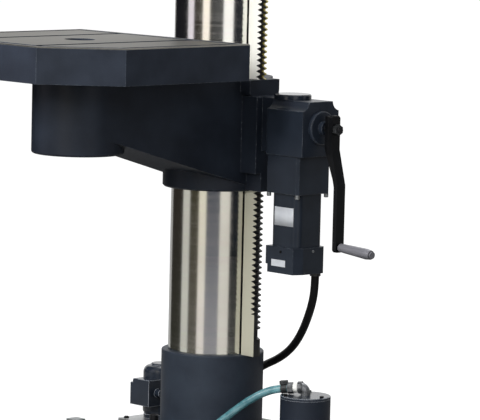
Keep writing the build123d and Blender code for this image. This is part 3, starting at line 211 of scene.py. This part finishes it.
def rackSteel(t, g, farY):
    # milled rack: ground cheeks bright, duller low down; the faces across the teeth dark with grease and
    # painted shade, painted shade in the gaps at the roots, and a yellowish painted highlight on the grease
    # at the far edge
    mat, tree, place = startMaterial("greased_rack_steel_painted_shade")
    x, y, z = parts(tree, place)
    # cheeks facing sideways stay bright, faces across the teeth go dark: partly grease, partly painted shade
    cheek = calc(tree, "ABSOLUTE", parts(tree, surfaceNormal(tree))[1])
    smear = noise(tree, place, g["smearMm"], detail=5.0)
    cleanAndLit = remap(tree, calc(tree, "MULTIPLY_ADD", smear, g["smearShare"], cheek), *g["cheeks"])
    # painted shade in each gap between the teeth, narrowing and fading towards the rack's back
    fromGap = calc(tree, "PINGPONG", calc(tree, "SUBTRACT", z, t["gapZ"]), t["pitch"] / 2)
    gapWidth = remap(tree, x, t["rootX"] - t["creep"], t["rootX"], t["closed"], t["gapHalf"])
    root = remap(tree, calc(tree, "SUBTRACT", gapWidth, fromGap), *t["fade"])
    gapShade = calc(tree, "MULTIPLY", root, calc(tree, "GREATER_THAN", z, t["plainTop"]))
    bareAndLit = calc(tree, "SUBTRACT", cleanAndLit, gapShade, use_clamp=True)
    # a yellowish painted highlight on the grease along the far edge, paler higher up
    farGlint = remap(tree, y, *(farY - inwards for inwards in g["farGlint"]))
    height = remap(tree, z, *g["paler"])
    glintTone = twoTones(tree, height, (0.0, 1.0), ("#2A2A26", "#C2B35A"))
    greaseAndShade = mixTone(tree, farGlint, hexLinear("#121214"), glintTone)
    bright = twoTones(tree, height, (0.0, 1.0), ("#C6C4B2", "#FAFAF2"))
    return finishMaterial(mat, {
        "Base Color": mixTone(tree, bareAndLit, greaseAndShade, bright),
        "Metallic": remap(tree, bareAndLit, 0.0, 1.0, *g["metallic"]),
        "Roughness": remap(tree, smear, 0.0, 1.0, *g["rough"])})


planing = {"edgeMm": 1.5, "edgeTone": "#7A828C", "edgeBand": (0.36, 0.62), "edgeLevels": (0.1, 0.8), "levelFrom": 0.5,
           "below": (0.0026, 0.0022), "markMm": 1.6, "alongScale": 7.0, "ironBand": (0.3, 0.7), "peelMm": 7,
           "peel": 0.18, "rough": (0.42, 0.5)}


def machinedTable(name, topZ, tones, p):
    # casting with enamel on its sides, paler at the edges as partly rubbed paint and partly a painted
    # highlight, and a planed iron face with tool marks on top
    mat, tree, place = startMaterial(name)
    soft, edge = roundedEdge(tree, p["edgeMm"])
    level = calc(tree, "GREATER_THAN", parts(tree, surfaceNormal(tree))[2], p["levelFrom"])
    high = remap(tree, parts(tree, place)[2], *(topZ - down for down in p["below"]))
    face = calc(tree, "MULTIPLY", level, high)
    _, wornLitPaint = wornLitEnamel(tree, place, edge, (*tones, p["edgeTone"]), p["edgeBand"], p["edgeLevels"])
    marks = lineNoise(tree, place, (perMm(p["markMm"]), p["alongScale"], p["alongScale"]))
    iron = twoTones(tree, marks["Fac"], p["ironBand"], ("#5C5B57", "#706E68"))
    peel = noise(tree, place, p["peelMm"], detail=3.0)
    skin = bump(tree, peel, p["peel"], enamel["peelDepthMm"], Normal=soft)
    return finishMaterial(mat, {
        "Base Color": mixTone(tree, face, wornLitPaint, iron), "Metallic": face, "Normal": skin,
        "Roughness": remap(tree, face, 0.0, 1.0, *p["rough"]), "Specular IOR Level": enamel["specular"]})


mottling = {"band": (0.3, 0.7), "smoother": 0.07, "rougher": 0.08, "depthMm": 0.6}


def plainMetal(name, tones, grainMm, rough, metallic, depth, specular=0.5):
    # small metal parts, bare, plated or painted: a mottled tone and a light grain that breaks the highlight
    m = mottling
    mat, tree, place = startMaterial(name)
    mottle = noise(tree, place, grainMm, detail=5.0)
    spread = remap(tree, mottle, low=rough - m["smoother"], high=rough + m["rougher"])
    return finishMaterial(mat, {
        "Base Color": twoTones(tree, mottle, m["band"], tones), "Metallic": metallic, "Roughness": spread,
        "Normal": bump(tree, mottle, depth, m["depthMm"]), "Specular IOR Level": specular})


def mouldedPlastic(name, tones, rough, grainMm, specular=0.5):
    # moulded plastic or rubber: nearly even colour, with a grain drawn coarse enough to show
    mat, tree, place = startMaterial(name)
    grain = noise(tree, place, grainMm, detail=2.0)
    return finishMaterial(mat, {
        "Base Color": twoTones(tree, grain, (0.3, 0.8), tones), "Roughness": rough,
        "Normal": bump(tree, grain, strength=0.12, depthMm=0.5), "Specular IOR Level": specular})


def clearHose():
    # extruded soft PVC, tinted teal and a little cloudy, that lets some light through under a glossy skin
    mat, tree, place = startMaterial("teal_pvc_hose")
    cloud = noise(tree, place, sizeMm=22, detail=3.0)
    return finishMaterial(mat, {
        "Base Color": twoTones(tree, cloud, (0.3, 0.75), ("#4A848E", "#82B6BE")), "Roughness": 0.2,
        "IOR": 1.52, "Transmission Weight": 0.35, "Coat Weight": 0.8, "Coat Roughness": 0.12})


def threadTape():
    # PTFE tape wound on the thread: matt white with soft wraps
    mat, tree, place = startMaterial("ptfe_thread_tape")
    wrap = noise(tree, place, sizeMm=3, detail=3.0)
    return finishMaterial(mat, {
        "Base Color": twoTones(tree, wrap, (0.3, 0.7), ("#D9DAD6", "#F4F4F1")), "Roughness": 0.6,
        "Normal": bump(tree, wrap, strength=0.3, depthMm=0.6)})


# the third tone of each enamel is its edge tone: partly bared paint, partly a painted highlight, nearly
# unbroken on the gloss enamel
castEnamel = machinePaint("cast_iron_enamel", ("#171C25", "#222934", "#858D96"),
                          peelMm=6, peel=0.22, rough=(0.4, 0.55), coat=0.0)
# a lighter copy of the cast enamel for the foot, painted light: the foot catches more light than the arm
litFootEnamel = machinePaint("foot_enamel_lit", ("#222832", "#2E3641", "#6E7680"),
                          peelMm=6, peel=0.22, rough=(0.42, 0.56), coat=0.0)
housingEnamel = machinePaint("housing_enamel", ("#1A2029", "#252C37", "#7E868F"),
                             peelMm=4, peel=0.12, rough=(0.3, 0.42), coat=0.1)
capEnamel = machinePaint("gloss_cap_enamel", ("#1A2029", "#252C37", "#3A424E"),
                         peelMm=4, peel=0.03, rough=(0.15, 0.19), coat=0.3)
glossEnamel = machinePaint("gloss_lid_enamel", ("#1A2029", "#252C37", "#AEB4BD"),
                           peelMm=4, peel=0.05, rough=(0.2, 0.28), coat=0.35, edgeBand=(0.25, 0.5))
columnSteel = groundSteel("ground_column_steel", "#D6D5CF", lineMm=1.6, rough=(0.12, 0.2), streak=0.2)
shaftSteel = groundSteel("turned_shaft_steel", "#BFC0BE", lineMm=2.5, rough=(0.2, 0.34), streak=0.3)
toothSteel = rackSteel(rackTeeth, rackGreaseAndLight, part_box("column_rack")[1].y)
tableIron = machinedTable("planed_table_iron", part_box("work_table")[1].z, ("#1B212B", "#282F3B"), planing)
baseIron = machinedTable("planed_base_iron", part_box("base_plate")[1].z, ("#171C26", "#232936"), planing)
blackenedSteel = plainMetal("blackened_steel", ("#0E0F11", "#1C1D20"),
                            grainMm=12, rough=0.42, metallic=0.4, depth=0.1)
crankEnamel = plainMetal("black_crank_enamel", ("#07080A", "#0E0F12"),
                         grainMm=25, rough=0.34, metallic=0.0, depth=0.06, specular=0.16)
galvanisedSheet = plainMetal("galvanised_sheet", ("#9A9D9F", "#B4B6B6"),
                             grainMm=14, rough=0.36, metallic=0.8, depth=0.1)
malleableIron = plainMetal("grey_malleable_iron", ("#505356", "#8E9093"),
                           grainMm=5, rough=0.34, metallic=0.75, depth=0.2)
clampSteel = plainMetal("dull_clamp_steel", ("#2A2C2E", "#4A4C4E"),
                        grainMm=5, rough=0.4, metallic=0.7, depth=0.15)
zincPlate = plainMetal("zinc_plated_fitting", ("#6F7375", "#9A9D9E"),
                       grainMm=6, rough=0.42, metallic=0.85, depth=0.15)
gripAluminium = plainMetal("satin_grip_aluminium", ("#6E6E75", "#7C7C82"),
                           grainMm=30, rough=0.45, metallic=0.35, depth=0.04)
screwBlack = plainMetal("black_oxide_screw", ("#08090A", "#101113"),
                        grainMm=4, rough=0.36, metallic=0.3, depth=0.08, specular=0.2)
plateBlank = plainMetal("blank_printed_foil", ("#C4C8CE", "#D3D6DB"),
                        grainMm=18, rough=0.38, metallic=0.15, depth=0.03)
cableRubber = mouldedPlastic("rubber_cable_sheath", ("#060607", "#0C0C0E"),
                             rough=0.5, grainMm=6, specular=0.15)
blackPlastic = mouldedPlastic("black_moulded_nylon", ("#101114", "#1B1C20"), rough=0.38, grainMm=3)
redPlastic = mouldedPlastic("red_moulded_abs", ("#A81212", "#C01A18"), rough=0.3, grainMm=4)
greenPlastic = mouldedPlastic("green_moulded_abs", ("#146B2A", "#1B7D34"), rough=0.3, grainMm=4)
panelPlastic = mouldedPlastic("grey_panel_abs", ("#3D4148", "#4A4F57"), rough=0.5, grainMm=2.5)
hosePvc = clearHose()
tapeWhite = threadTape()

finishes = {
    castEnamel: "table_bracket head_casting head_lid settling_pot",
    litFootEnamel: "column_foot",
    housingEnamel: "lift_gearbox crank_flange gearhead lift_motor motor_end_box drive_motor motor_cowl "
                   "motor_terminal_box",
    glossEnamel: "pot_lid pump_terminal_box coolant_pump",
    capEnamel: "gearbox_cap",
    columnSteel: "column",
    shaftSteel: "rack_collar quill spindle spindle_bearings drill_chuck chuck_jaws lift_gear worm_bevel "
                "motor_bevel drive_gear motor_pinion feed_shaft feed_levers clamp_stud",
    toothSteel: "column_rack",
    tableIron: "work_table",
    baseIron: "base_plate",
    galvanisedSheet: "tank_cover",
    malleableIron: "hose_elbow",
    clampSteel: "hose_clamp crank_nut",
    blackenedSteel: "worm_shaft frame_screws table_screws clamp_lever column_cap",
    crankEnamel: "crank_arm",
    zincPlate: "tank_inlet gearhead_screws",
    gripAluminium: "crank_grip grip_pin",
    cableRubber: "lift_cable",
    blackPlastic: "cable_bush base_gland feed_hub feed_knobs gear_lever",
    redPlastic: "emergency_stop stop_button",
    greenPlastic: "start_button",
    panelPlastic: "control_panel",
    hosePvc: "return_hose",
}
for mat, names in finishes.items():
    for name in names.split():
        slots = nodes[name].data.materials
        slots.clear()
        slots.append(mat)
print("materials:", len(finishes))


# studio

viewPoint = {"azimuth": 46.5, "pitch": 6.37, "roll": 1.35, "distance": 6.975, "height": 1.35857,
             "side": 0.0486, "lens": 262.5, "sensor": 36, "farthest": 60}
azimuth, pitch, roll = (math.radians(viewPoint[k]) for k in ("azimuth", "pitch", "roll"))
towards = Vector((math.sin(azimuth), -math.cos(azimuth), 0))
rightward = Vector((math.cos(azimuth), math.sin(azimuth), 0))


def rise(height):
    return Vector((0, 0, height))


def around(degrees):  # the level way out from the column, so many degrees right of the camera's
    turn = math.radians(degrees)
    return towards * math.cos(turn) + rightward * math.sin(turn)


back = towards * math.cos(pitch) + rise(math.sin(pitch))
upward = back.cross(rightward)
camX = rightward * math.cos(roll) + upward * math.sin(roll)
camY = upward * math.cos(roll) - rightward * math.sin(roll)
spot = towards * viewPoint["distance"] + rightward * viewPoint["side"] + rise(viewPoint["height"])
camera = bpy.data.objects.new("camera", bpy.data.cameras.new("camera"))
camera.data.lens = viewPoint["lens"]
camera.data.sensor_width = viewPoint["sensor"]
camera.data.sensor_fit = "HORIZONTAL"
camera.data.clip_end = viewPoint["farthest"]
camera.matrix_world = Matrix.Translation(spot) @ Matrix((camX, camY, back)).transposed().to_4x4()
scene.collection.objects.link(camera)
scene.camera = camera
scene.view_settings.view_transform = "Standard"


def seenRays(tree, mirrored=1.0):
    # 1 on camera and transmission rays, and as much as mirrored says on glossy rays
    path = put(tree, "ShaderNodeLightPath").outputs
    glossy = calc(tree, "MULTIPLY", path["Is Glossy Ray"], mirrored)
    first = calc(tree, "MAXIMUM", path["Is Camera Ray"], glossy)
    return calc(tree, "MAXIMUM", first, path["Is Transmission Ray"])


roomLight = 0.34  # the room's strength as light; seen or mirrored it is 1
world = bpy.data.worlds.new("soft_room")
scene.world = world
world.use_nodes = True
sky = world.node_tree
sky.nodes.clear()
roomLevel = remap(sky, seenRays(sky), low=roomLight)
room = put(sky, "ShaderNodeBackground", {"Color": grey(1.0), "Strength": roomLevel})
put(sky, "ShaderNodeOutputWorld", {"Surface": room.outputs[0]})


def meshObject(name, verts, faces, mat):
    mesh = bpy.data.meshes.new(name)
    points = np.asarray(verts, float).reshape(-1, 3).tolist()
    mesh.from_pydata(points, [], [tuple(map(int, face)) for face in faces])
    mesh.materials.append(mat)
    item = bpy.data.objects.new(name, mesh)
    scene.collection.objects.link(item)
    return item


def flatPatch(name, corners, mat):  # one quad through four points
    patch = meshObject(name, [tuple(corner) for corner in corners], [(0, 1, 2, 3)], mat)
    return patch


studioFloor = {"half": 30, "tone": "#626262", "mirrored": 0.35}


def makeFloor(f):
    # a dim matt floor that the camera sees as white
    mat, tree, _ = startMaterial("pale_studio_floor")
    matt = put(tree, "ShaderNodeBsdfDiffuse", {"Color": hexLinear(f["tone"])})
    glow = put(tree, "ShaderNodeEmission", {"Color": grey(1.0), "Strength": seenRays(tree, f["mirrored"])})
    showSurface(mat, put(tree, "ShaderNodeAddShader", {0: matt.outputs[0], 1: glow.outputs[0]}))
    corners = [(f["half"] * x, f["half"] * y, 0) for x, y in ((-1, -1), (1, -1), (1, 1), (-1, 1))]
    return flatPatch("floor", corners, mat)


makeFloor(studioFloor)

# degrees right of the camera's direction, distance, height, size, power and the height aimed at
lamps = {
    "key": {"turn": -42, "far": 3.6, "height": 2.7, "size": 2.2, "watts": 185, "aim": 0.7},
    "fill": {"turn": 48, "far": 4.0, "height": 2.6, "size": 2.4, "watts": 12, "aim": 0.9},
    "front": {"turn": -4, "far": 5.0, "height": 2.0, "size": 1.5, "watts": 58, "aim": 0.7},
    "top": {"turn": 160, "far": 1.6, "height": 4.2, "size": 2.6, "watts": 60, "aim": 1.0},
    "rear": {"turn": 176, "far": 3.4, "height": 1.5, "size": 2.0, "watts": 45, "aim": 0.9},
}
for name, given in lamps.items():
    light = bpy.data.lights.new(name, "AREA")
    light.energy = given["watts"]
    light.size = given["size"]
    lamp = bpy.data.objects.new(name, light)
    lamp.location = around(given["turn"]) * given["far"] + rise(given["height"])
    lamp.rotation_euler = (lamp.location - rise(given["aim"])).to_track_quat("Z", "Y").to_euler()
    lamp.visible_glossy = name != "rear"  # the level tops would mirror the rear lamp
    scene.collection.objects.link(lamp)

screenRing = {"radius": 1.5, "fade": (0.16, 0.46)}
# upright glowing screens that paint the column's reflection bands, in two rows, by the row's bottom, top and
# strength:
# from and to in degrees right of the camera's direction, then one tone, or the tones at the foot and at the
# top
tiers = {
    (0.02, 0.6, 1.0): {
        "far_left": (-140, -90, "#34342E", "#302C28"),
        "pale_left": (-89, -68, "#DADAD4", "#D0CFC8"),
        "left": (-67, -42, "#5A564E", "#3C392A"),
        "cream": (-42, -23, "#F6EFEC", "#F0EBD8"),
        "middle": (-23, 11, "#94949C", "#4A4D58"),
        "pale": (11, 37, "#E8E4DF", "#EAE6DE"),
        "right": (37, 79, "#3E3E3C", "#2A2C34"),
        "pale_right": (79, 93, "#D2D2CC"),
        "far_right": (93, 116, "#2C2E30")},
    (0.6, 3.0, 1.4): {
        "far_left": (-152, -87, "#16161B"),
        "pale_left": (-86, -68, "#E2DCE6"),
        "left": (-68, -43, "#262118"),
        "cream": (-43, -25, "#FFF6EC"),
        "middle": (-25, 9, "#0E0F12"),
        "pale": (9, 34, "#FFFDFD"),
        "right": (34, 64, "#181A22"),
        "pale_right": (65, 77, "#E4E4E8"),
        "far_right": (77, 110, "#202228")},
}
# a dark sheet behind that only reflections see, painting shade on the undersides: corners by how far behind
# and how far right
groundScreen = {"corners": ((0.8, -0.4), (0.8, 2), (5, 2), (5, -0.8)), "height": 0.004, "tones": ["#202228"],
                "power": 1.4}


def addScreen(name, corners, tones, power):
    # a painted reflection: glows from its foot tone to its top tone, and only reflections see it
    mat, tree, place = startMaterial("reflection_screen_" + name)
    up = remap(tree, parts(tree, place)[2], *screenRing["fade"])
    shade = twoTones(tree, up, (0.0, 1.0), (tones[0], tones[-1]))
    showSurface(mat, put(tree, "ShaderNodeEmission", {"Color": shade, "Strength": power}))
    screen = flatPatch("screen_" + name, corners, mat)
    for rays in ("camera", "diffuse", "shadow", "transmission"):
        setattr(screen, "visible_" + rays, False)
    return screen


for (bottom, top, power), row in tiers.items():
    for name, (start, stop, *tones) in row.items():
        left, right = (around(degrees) * screenRing["radius"] for degrees in (start, stop))
        low, high = rise(bottom), rise(top)
        addScreen(name, [left + low, right + low, right + high, left + high], tones, power)
behind = [-towards * far + rightward * aside + rise(groundScreen["height"])
          for far, aside in groundScreen["corners"]]
addScreen("ground", behind, groundScreen["tones"], groundScreen["power"])
nodes["work_table"].visible_glossy = False  # the ground column is too dull to mirror the table
print("studio set")


# new pieces

sharpFrom = math.radians(35)


def shadeFaces(item, smooth):
    item.data.polygons.foreach_set("use_smooth", np.full(len(item.data.polygons), smooth))


def addPiece(name, verts, faces, mat, body, smooth=True):
    piece = meshObject(name, verts, faces, mat)
    shadeFaces(piece, smooth)
    piece.data.set_sharp_from_angle(angle=sharpFrom)
    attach(piece, body)
    return piece


def gridFaces(rows, cols, closed=True):  # quads of a grid, whose last column joins the first if it is closed
    r, c = np.meshgrid(np.arange(rows - 1), np.arange(cols if closed else cols - 1), indexing="ij")
    n = (c + 1) % cols
    return np.stack([r * cols + c, r * cols + n, (r + 1) * cols + n, (r + 1) * cols + c], -1).reshape(-1, 4)


def tubeFaces(rows, cols):  # a tube's wall and its two flat ends
    ring = np.arange(cols)
    return [*gridFaces(rows, cols), ring[::-1], ring + (rows - 1) * cols]


def turnsOf(sides):  # angles evenly round a circle
    return np.linspace(0, 2 * np.pi, sides, endpoint=False)


def routeCurve(name, points):  # a NURBS line with the route's points as its control points
    curve = bpy.data.curves.new(name, "CURVE")
    curve.dimensions = "3D"
    spline = curve.splines.new("NURBS")
    spline.points.add(len(points) - 1)
    for point, place in zip(spline.points, points):
        point.co = (*place, 1.0)
    spline.order_u = 3
    spline.use_endpoint_u = True
    spline.resolution_u = 12
    line = bpy.data.objects.new(name, curve)
    scene.collection.objects.link(line)
    return line


def routePoints(line):  # points along the drawn line
    bpy.context.view_layer.update()
    mesh = bpy.data.meshes.new_from_object(line.evaluated_get(bpy.context.evaluated_depsgraph_get()))
    co = np.zeros(len(mesh.vertices) * 3)
    mesh.vertices.foreach_get("co", co)
    bpy.data.meshes.remove(mesh)
    return co.reshape(-1, 3)


elbow = {"corner": (0.228, 0.041, 0.246), "heading": 210.0, "droop": 7.0, "run": 0.036}
returnHose = {"diameter": 0.016, "gap": 0.001, "straight": 0.023, "route": [
    (0.154, -0.0028, 0.2294), (0.135, -0.0205, 0.2144), (0.1218, -0.0416, 0.1976), (0.1137, -0.0651, 0.1808),
    (0.1093, -0.0901, 0.1654), (0.1026, -0.1169, 0.154), (0.0884, -0.1425, 0.1468), (0.0676, -0.164, 0.1421),
    (0.0419, -0.1794, 0.139), (0.0094, -0.1893, 0.1366), (-0.134, -0.196, 0.133), (-0.174, -0.196, 0.133)]}


def outletFrame(e):  # the corner, the way along the outlet, the way across it and the way up from it
    h, d = math.radians(e["heading"]), math.radians(e["droop"])
    along = np.array([math.cos(h) * math.cos(d), math.sin(h) * math.cos(d), -math.sin(d)])
    across = np.array([-math.sin(h), math.cos(h), 0.0])
    return np.array(e["corner"]), along, across, np.cross(along, across)


def makeReturnHose(h, e):
    # leaves the elbow's outlet straight, then follows the route's points
    corner, along, _, _ = outletFrame(e)
    leave = e["run"] + h["gap"]
    start = [corner + along * leave, corner + along * (leave + h["straight"])]
    route = [tuple(map(float, point)) for point in start] + h["route"]
    line = routeCurve("coolant_hose", route)
    points = routePoints(line)
    line.data.bevel_depth = h["diameter"] / 2
    line.data.bevel_resolution = 5
    line.data.use_fill_caps = True
    line.data.materials.append(hosePvc)
    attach(line, "frame")
    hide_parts("return_hose")
    return line


makeReturnHose(returnHose, elbow)

# the drop goes by reach from the exit and depth under it, the landing by distance and height from the far end
liftCable = {"diameter": 0.016, "exit": (0.2625, 0.025), "heading": 159.0, "top": 0.4788, "low": 0.123,
             "reach": 0.372,
             "drop": [(0, 0), (0, 0.0228), (0.007, 0.0548), (0.030, 0.0928), (0.062, 0.1308), (0.107, 0.1658),
                      (0.172, 0.1963), (0.243, 0.2193)],
             "landing": [(0.0546, 0.1068), (0.0284, 0.0884), (0.0096, 0.0625), (0, 0.032), (0, 0)],
             "sides": 24, "blendTilt": 28.0, "blendReach": 0.4, "blendPast": 0.03}


def makeLiftCable(c):
    # a circle carried along the route, kept square to it by two normals that follow the line
    turn = math.radians(c["heading"])
    profile = [(out, c["top"] - down) for out, down in c["drop"]]
    profile += [(c["reach"] - short, c["low"] + above) for short, above in c["landing"]]
    route = [(c["exit"][0] + s * math.cos(turn), c["exit"][1] + s * math.sin(turn), z) for s, z in profile]
    line = routeCurve("cable_line", route)
    points = routePoints(line)
    bpy.data.objects.remove(line)
    along = np.gradient(points, axis=0)
    along /= np.linalg.norm(along, axis=1)[:, None]
    side = np.array([-math.sin(turn), math.cos(turn), 0.0])  # the route lies in one upright plane
    other = np.cross(along, side)
    angle = turnsOf(c["sides"])
    ring = np.cos(angle)[None, :, None] * side + np.sin(angle)[None, :, None] * other[:, None, :]
    verts = points[:, None, :] + ring * c["diameter"] / 2
    piece = meshObject("motor_cable", verts, tubeFaces(len(points), c["sides"]), cableRubber)
    shadeFaces(piece, True)
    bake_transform(piece)
    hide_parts("lift_cable")
    return piece


makeLiftCable(liftCable)
print("cords made")

threadBand = {"start": 0.0147, "stop": 0.0248, "radius": 0.0096, "ends": 0.0089, "ripple": 0.0003, "wraps": 3,
              "rings": 9, "sides": 48}


def makeThreadBand(b, e):
    # tape wound round the thread: a ring whose radius swells and sinks once per wrap
    corner, along, across, up = outletFrame(e)
    s, a = np.meshgrid(np.linspace(b["start"], b["stop"], b["rings"]), turnsOf(b["sides"]), indexing="ij")
    wraps = (s - b["start"]) / (b["stop"] - b["start"]) * b["wraps"]
    r = b["radius"] + b["ripple"] * np.sin(2 * np.pi * wraps + a)
    r[0] = r[-1] = b["ends"]
    out = (r * np.cos(a))[..., None] * across + (r * np.sin(a))[..., None] * up
    verts = corner + s[..., None] * along + out
    faces = gridFaces(b["rings"], b["sides"])
    return addPiece("thread_tape", verts, faces, tapeWhite, "frame")


makeThreadBand(threadBand, elbow)

elbowBody = {"rise": 0.016, "bend": 0.011, "foot": 0.0096, "root": 0.0093, "swell": 0.0016, "swellPower": 0.8,
             "rings": 14, "sides": 40}


def makeElbowBody(b, e):
    # the cast elbow's fuller bend: rings that swing about the inner corner, from level on the lid to square
    # across the outlet, with a radius that grows towards the collar
    h, turned = math.radians(e["heading"]), math.radians(90 + e["droop"])
    level, up = np.array([math.cos(h), math.sin(h), 0.0]), np.array([0.0, 0.0, 1.0])
    across = np.array([-math.sin(h), math.cos(h), 0.0])
    tangent = b["bend"] * math.tan(turned / 2)
    pivot = np.array(e["corner"]) + level * b["bend"] - up * tangent
    theta = np.linspace(0, turned, b["rings"])
    radius = b["root"] + b["swell"] * (theta / turned) ** b["swellPower"]
    angle = turnsOf(b["sides"])
    outward = -np.cos(theta)[:, None] * level + np.sin(theta)[:, None] * up
    centre = pivot + b["bend"] * outward
    circle = np.cos(angle)[None, :, None] * outward[:, None] - np.sin(angle)[None, :, None] * across
    rings = centre[:, None] + radius[:, None, None] * circle
    foot = rings[0] + (rings[0] - centre[0]) * (b["foot"] / b["root"] - 1) - up * (b["rise"] - tangent)
    verts = np.concatenate([foot[None], rings])
    faces = tubeFaces(len(verts), b["sides"])
    return addPiece("elbow_body", verts, faces, malleableIron, "frame")


makeElbowBody(elbowBody, elbow)

# distances behind or past the arm's back and below its top
armHead = {"thick": 0.0105, "sunk": 0.0005, "below": 0.001, "shoulder": 0.064, "bend": 0.069,
           "foot": (0.0155, 0.128), "inset": 0.0001, "soften": 0.0012, "steps": 2}


def makeArmHead(a, arm):
    # the arm's thick head: an outline behind the bar, as wide as the bar and tapered off below the bend
    back, face = arm[0].x - a["thick"], arm[0].x + a["sunk"]
    armTop, half = arm[1].z, arm[1].y - a["inset"]
    outline = [(back, armTop - a["below"]), (back, armTop - a["shoulder"]),
               (arm[0].x + a["foot"][0], armTop - a["foot"][1]), (face, armTop - a["bend"]),
               (face, armTop - a["below"])]
    count = len(outline)
    verts = [(x, y, z) for y in (-half, half) for x, z in outline]
    sides = [(i, i + count, (i + 1) % count + count, (i + 1) % count) for i in range(count)]
    faces = [*sides, tuple(range(count)), tuple(range(count, 2 * count))[::-1]]
    piece = addPiece("crank_head", verts, faces, crankEnamel, "crank", smooth=False)
    soft = piece.modifiers.new("softened edges", "BEVEL")
    soft.width = a["soften"]
    soft.segments = a["steps"]
    return piece


makeArmHead(armHead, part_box("crank_arm"))

# both plates go by distances aside of the middle and above the foot of what they sit on
motorPlate = {"aside": (-0.0245, 0.0275), "above": (0.0415, 0.078), "corner": 0.016, "lift": 0.0003,
              "foil": 0.0003, "cols": 24}


def middleX(box):
    return (box[0].x + box[1].x) / 2


def makeMotorPlate(p, motor):
    # a foil plate laid on the motor's front, which bends back over the rounded corner
    aside = np.linspace(*p["aside"], p["cols"])
    flat = motor[1].y - p["corner"]
    over = np.clip(np.abs(aside) - flat, 0, None)
    x = middleX(motor) + aside
    y = -flat - np.sqrt(p["corner"] ** 2 - over ** 2) - p["lift"]
    z = motor[0].z + np.repeat(p["above"], p["cols"])
    verts = np.stack([np.tile(x, 2), np.tile(y, 2), z], -1)
    faces = gridFaces(2, p["cols"], False)
    piece = addPiece("motor_plate", verts, faces, plateBlank, "table_unit")
    solid = piece.modifiers.new("foil", "SOLIDIFY")
    solid.thickness = p["foil"]
    solid.offset = 0
    return piece


makeMotorPlate(motorPlate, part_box("lift_motor"))

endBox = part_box("motor_end_box")
boxPlate = {"aside": (-0.0255, 0.013), "above": (0.0135, 0.0265), "thick": 0.0004}


def makeBoxPlate(p, box):
    x = [middleX(box) + aside for aside in p["aside"]]
    y = [box[0].y - p["thick"], box[0].y]
    z = [box[0].z + above for above in p["above"]]
    verts = [(i, j, k) for i in x for j in y for k in z]
    faces = [(0, 1, 3, 2), (4, 6, 7, 5), (0, 4, 5, 1), (2, 3, 7, 6), (0, 2, 6, 4), (1, 5, 7, 3)]
    return addPiece("end_box_plate", verts, faces, plateBlank, "table_unit", smooth=False)


makeBoxPlate(boxPlate, endBox)
print("elbow, crank head, tape and plates made")


def turnedHeads(name, h, mat, body):
    # the head's profile of radius and height, turned about its axis at each place, with a fan at both ends
    r, z = np.array(h["profile"]).T
    axis = np.array(h["axis"], float)
    side = np.array((1.0, 0.0, 0.0) if axis[1] else (0.0, 1.0, 0.0))  # square to the axis
    other = np.cross(axis, side)
    cols, rows = h["sides"], len(r)
    angle = turnsOf(cols)
    ring = np.cos(angle)[:, None] * side + np.sin(angle)[:, None] * other
    wall = (r[:, None, None] * ring + z[:, None, None] * axis).reshape(-1, 3)
    one = np.vstack([wall, z[0] * axis, z[-1] * axis])
    c = np.arange(cols)
    n = (c + 1) % cols
    last = (rows - 1) * cols
    low, top = np.full(cols, rows * cols), np.full(cols, rows * cols + 1)
    fans = np.vstack([np.stack([low, n, c], -1), np.stack([top, c + last, n + last], -1)])
    verts = np.vstack([one + np.array(place) for place in h["places"]])
    oneFaces = [*gridFaces(rows, cols), *fans]
    faces = [face + i * len(one) for i in range(len(h["places"])) for face in oneFaces]
    return addPiece(name, verts, faces, mat, body)


lidRing = {"radius": 0.042, "angles": (5, 125, 245), "bossHeight": 0.003}
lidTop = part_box("pot_lid")[1].z - lidRing["bossHeight"]
lidScrews = {"axis": (0, 0, 1), "sides": 24,
             "profile": [(0.0042, 0.0), (0.0042, 0.0029), (0.0037, 0.0034),
                         (0.0022, 0.0034), (0.0022, 0.0032)],
             "places": [(elbow["corner"][0] + lidRing["radius"] * math.cos(a),
                         elbow["corner"][1] + lidRing["radius"] * math.sin(a), lidTop)
                        for a in map(math.radians, lidRing["angles"])]}
coverLow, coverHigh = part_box("tank_cover")
coverInset = 0.012
coverRows = (coverLow.y + coverInset, (coverLow.y + coverHigh.y) / 2, coverHigh.y - coverInset)
coverScrews = {"axis": (0, 0, 1), "sides": 24,
               "profile": [(0.0055, 0.0), (0.0055, 0.0022), (0.0044, 0.0036),
                           (0.0028, 0.004), (0.0026, 0.0026)],
               "places": [(x, y, coverHigh.z) for x in (coverLow.x + coverInset, coverHigh.x - coverInset)
                          for y in coverRows]}
boxScrews = {"frontAbove": 0.0425, "sideAbove": 0.0445, "sideY": 0.005}
frontScrew = {"axis": (0, -1, 0), "sides": 20,
              "profile": [(0.0027, 0.0), (0.0027, 0.0008), (0.0021, 0.0015),
                          (0.0012, 0.0016), (0.0011, 0.0009)],
              "places": [(middleX(endBox), endBox[0].y, endBox[0].z + boxScrews["frontAbove"])]}
sideScrew = {**frontScrew, "axis": (1, 0, 0),
             "places": [(endBox[1].x, boxScrews["sideY"], endBox[0].z + boxScrews["sideAbove"])]}
turnedHeads("lid_screws", lidScrews, screwBlack, "frame")
turnedHeads("cover_screws", coverScrews, screwBlack, "frame")
turnedHeads("box_screw_front", frontScrew, screwBlack, "table_unit")
turnedHeads("box_screw_side", sideScrew, zincPlate, "table_unit")
print("small screws made")
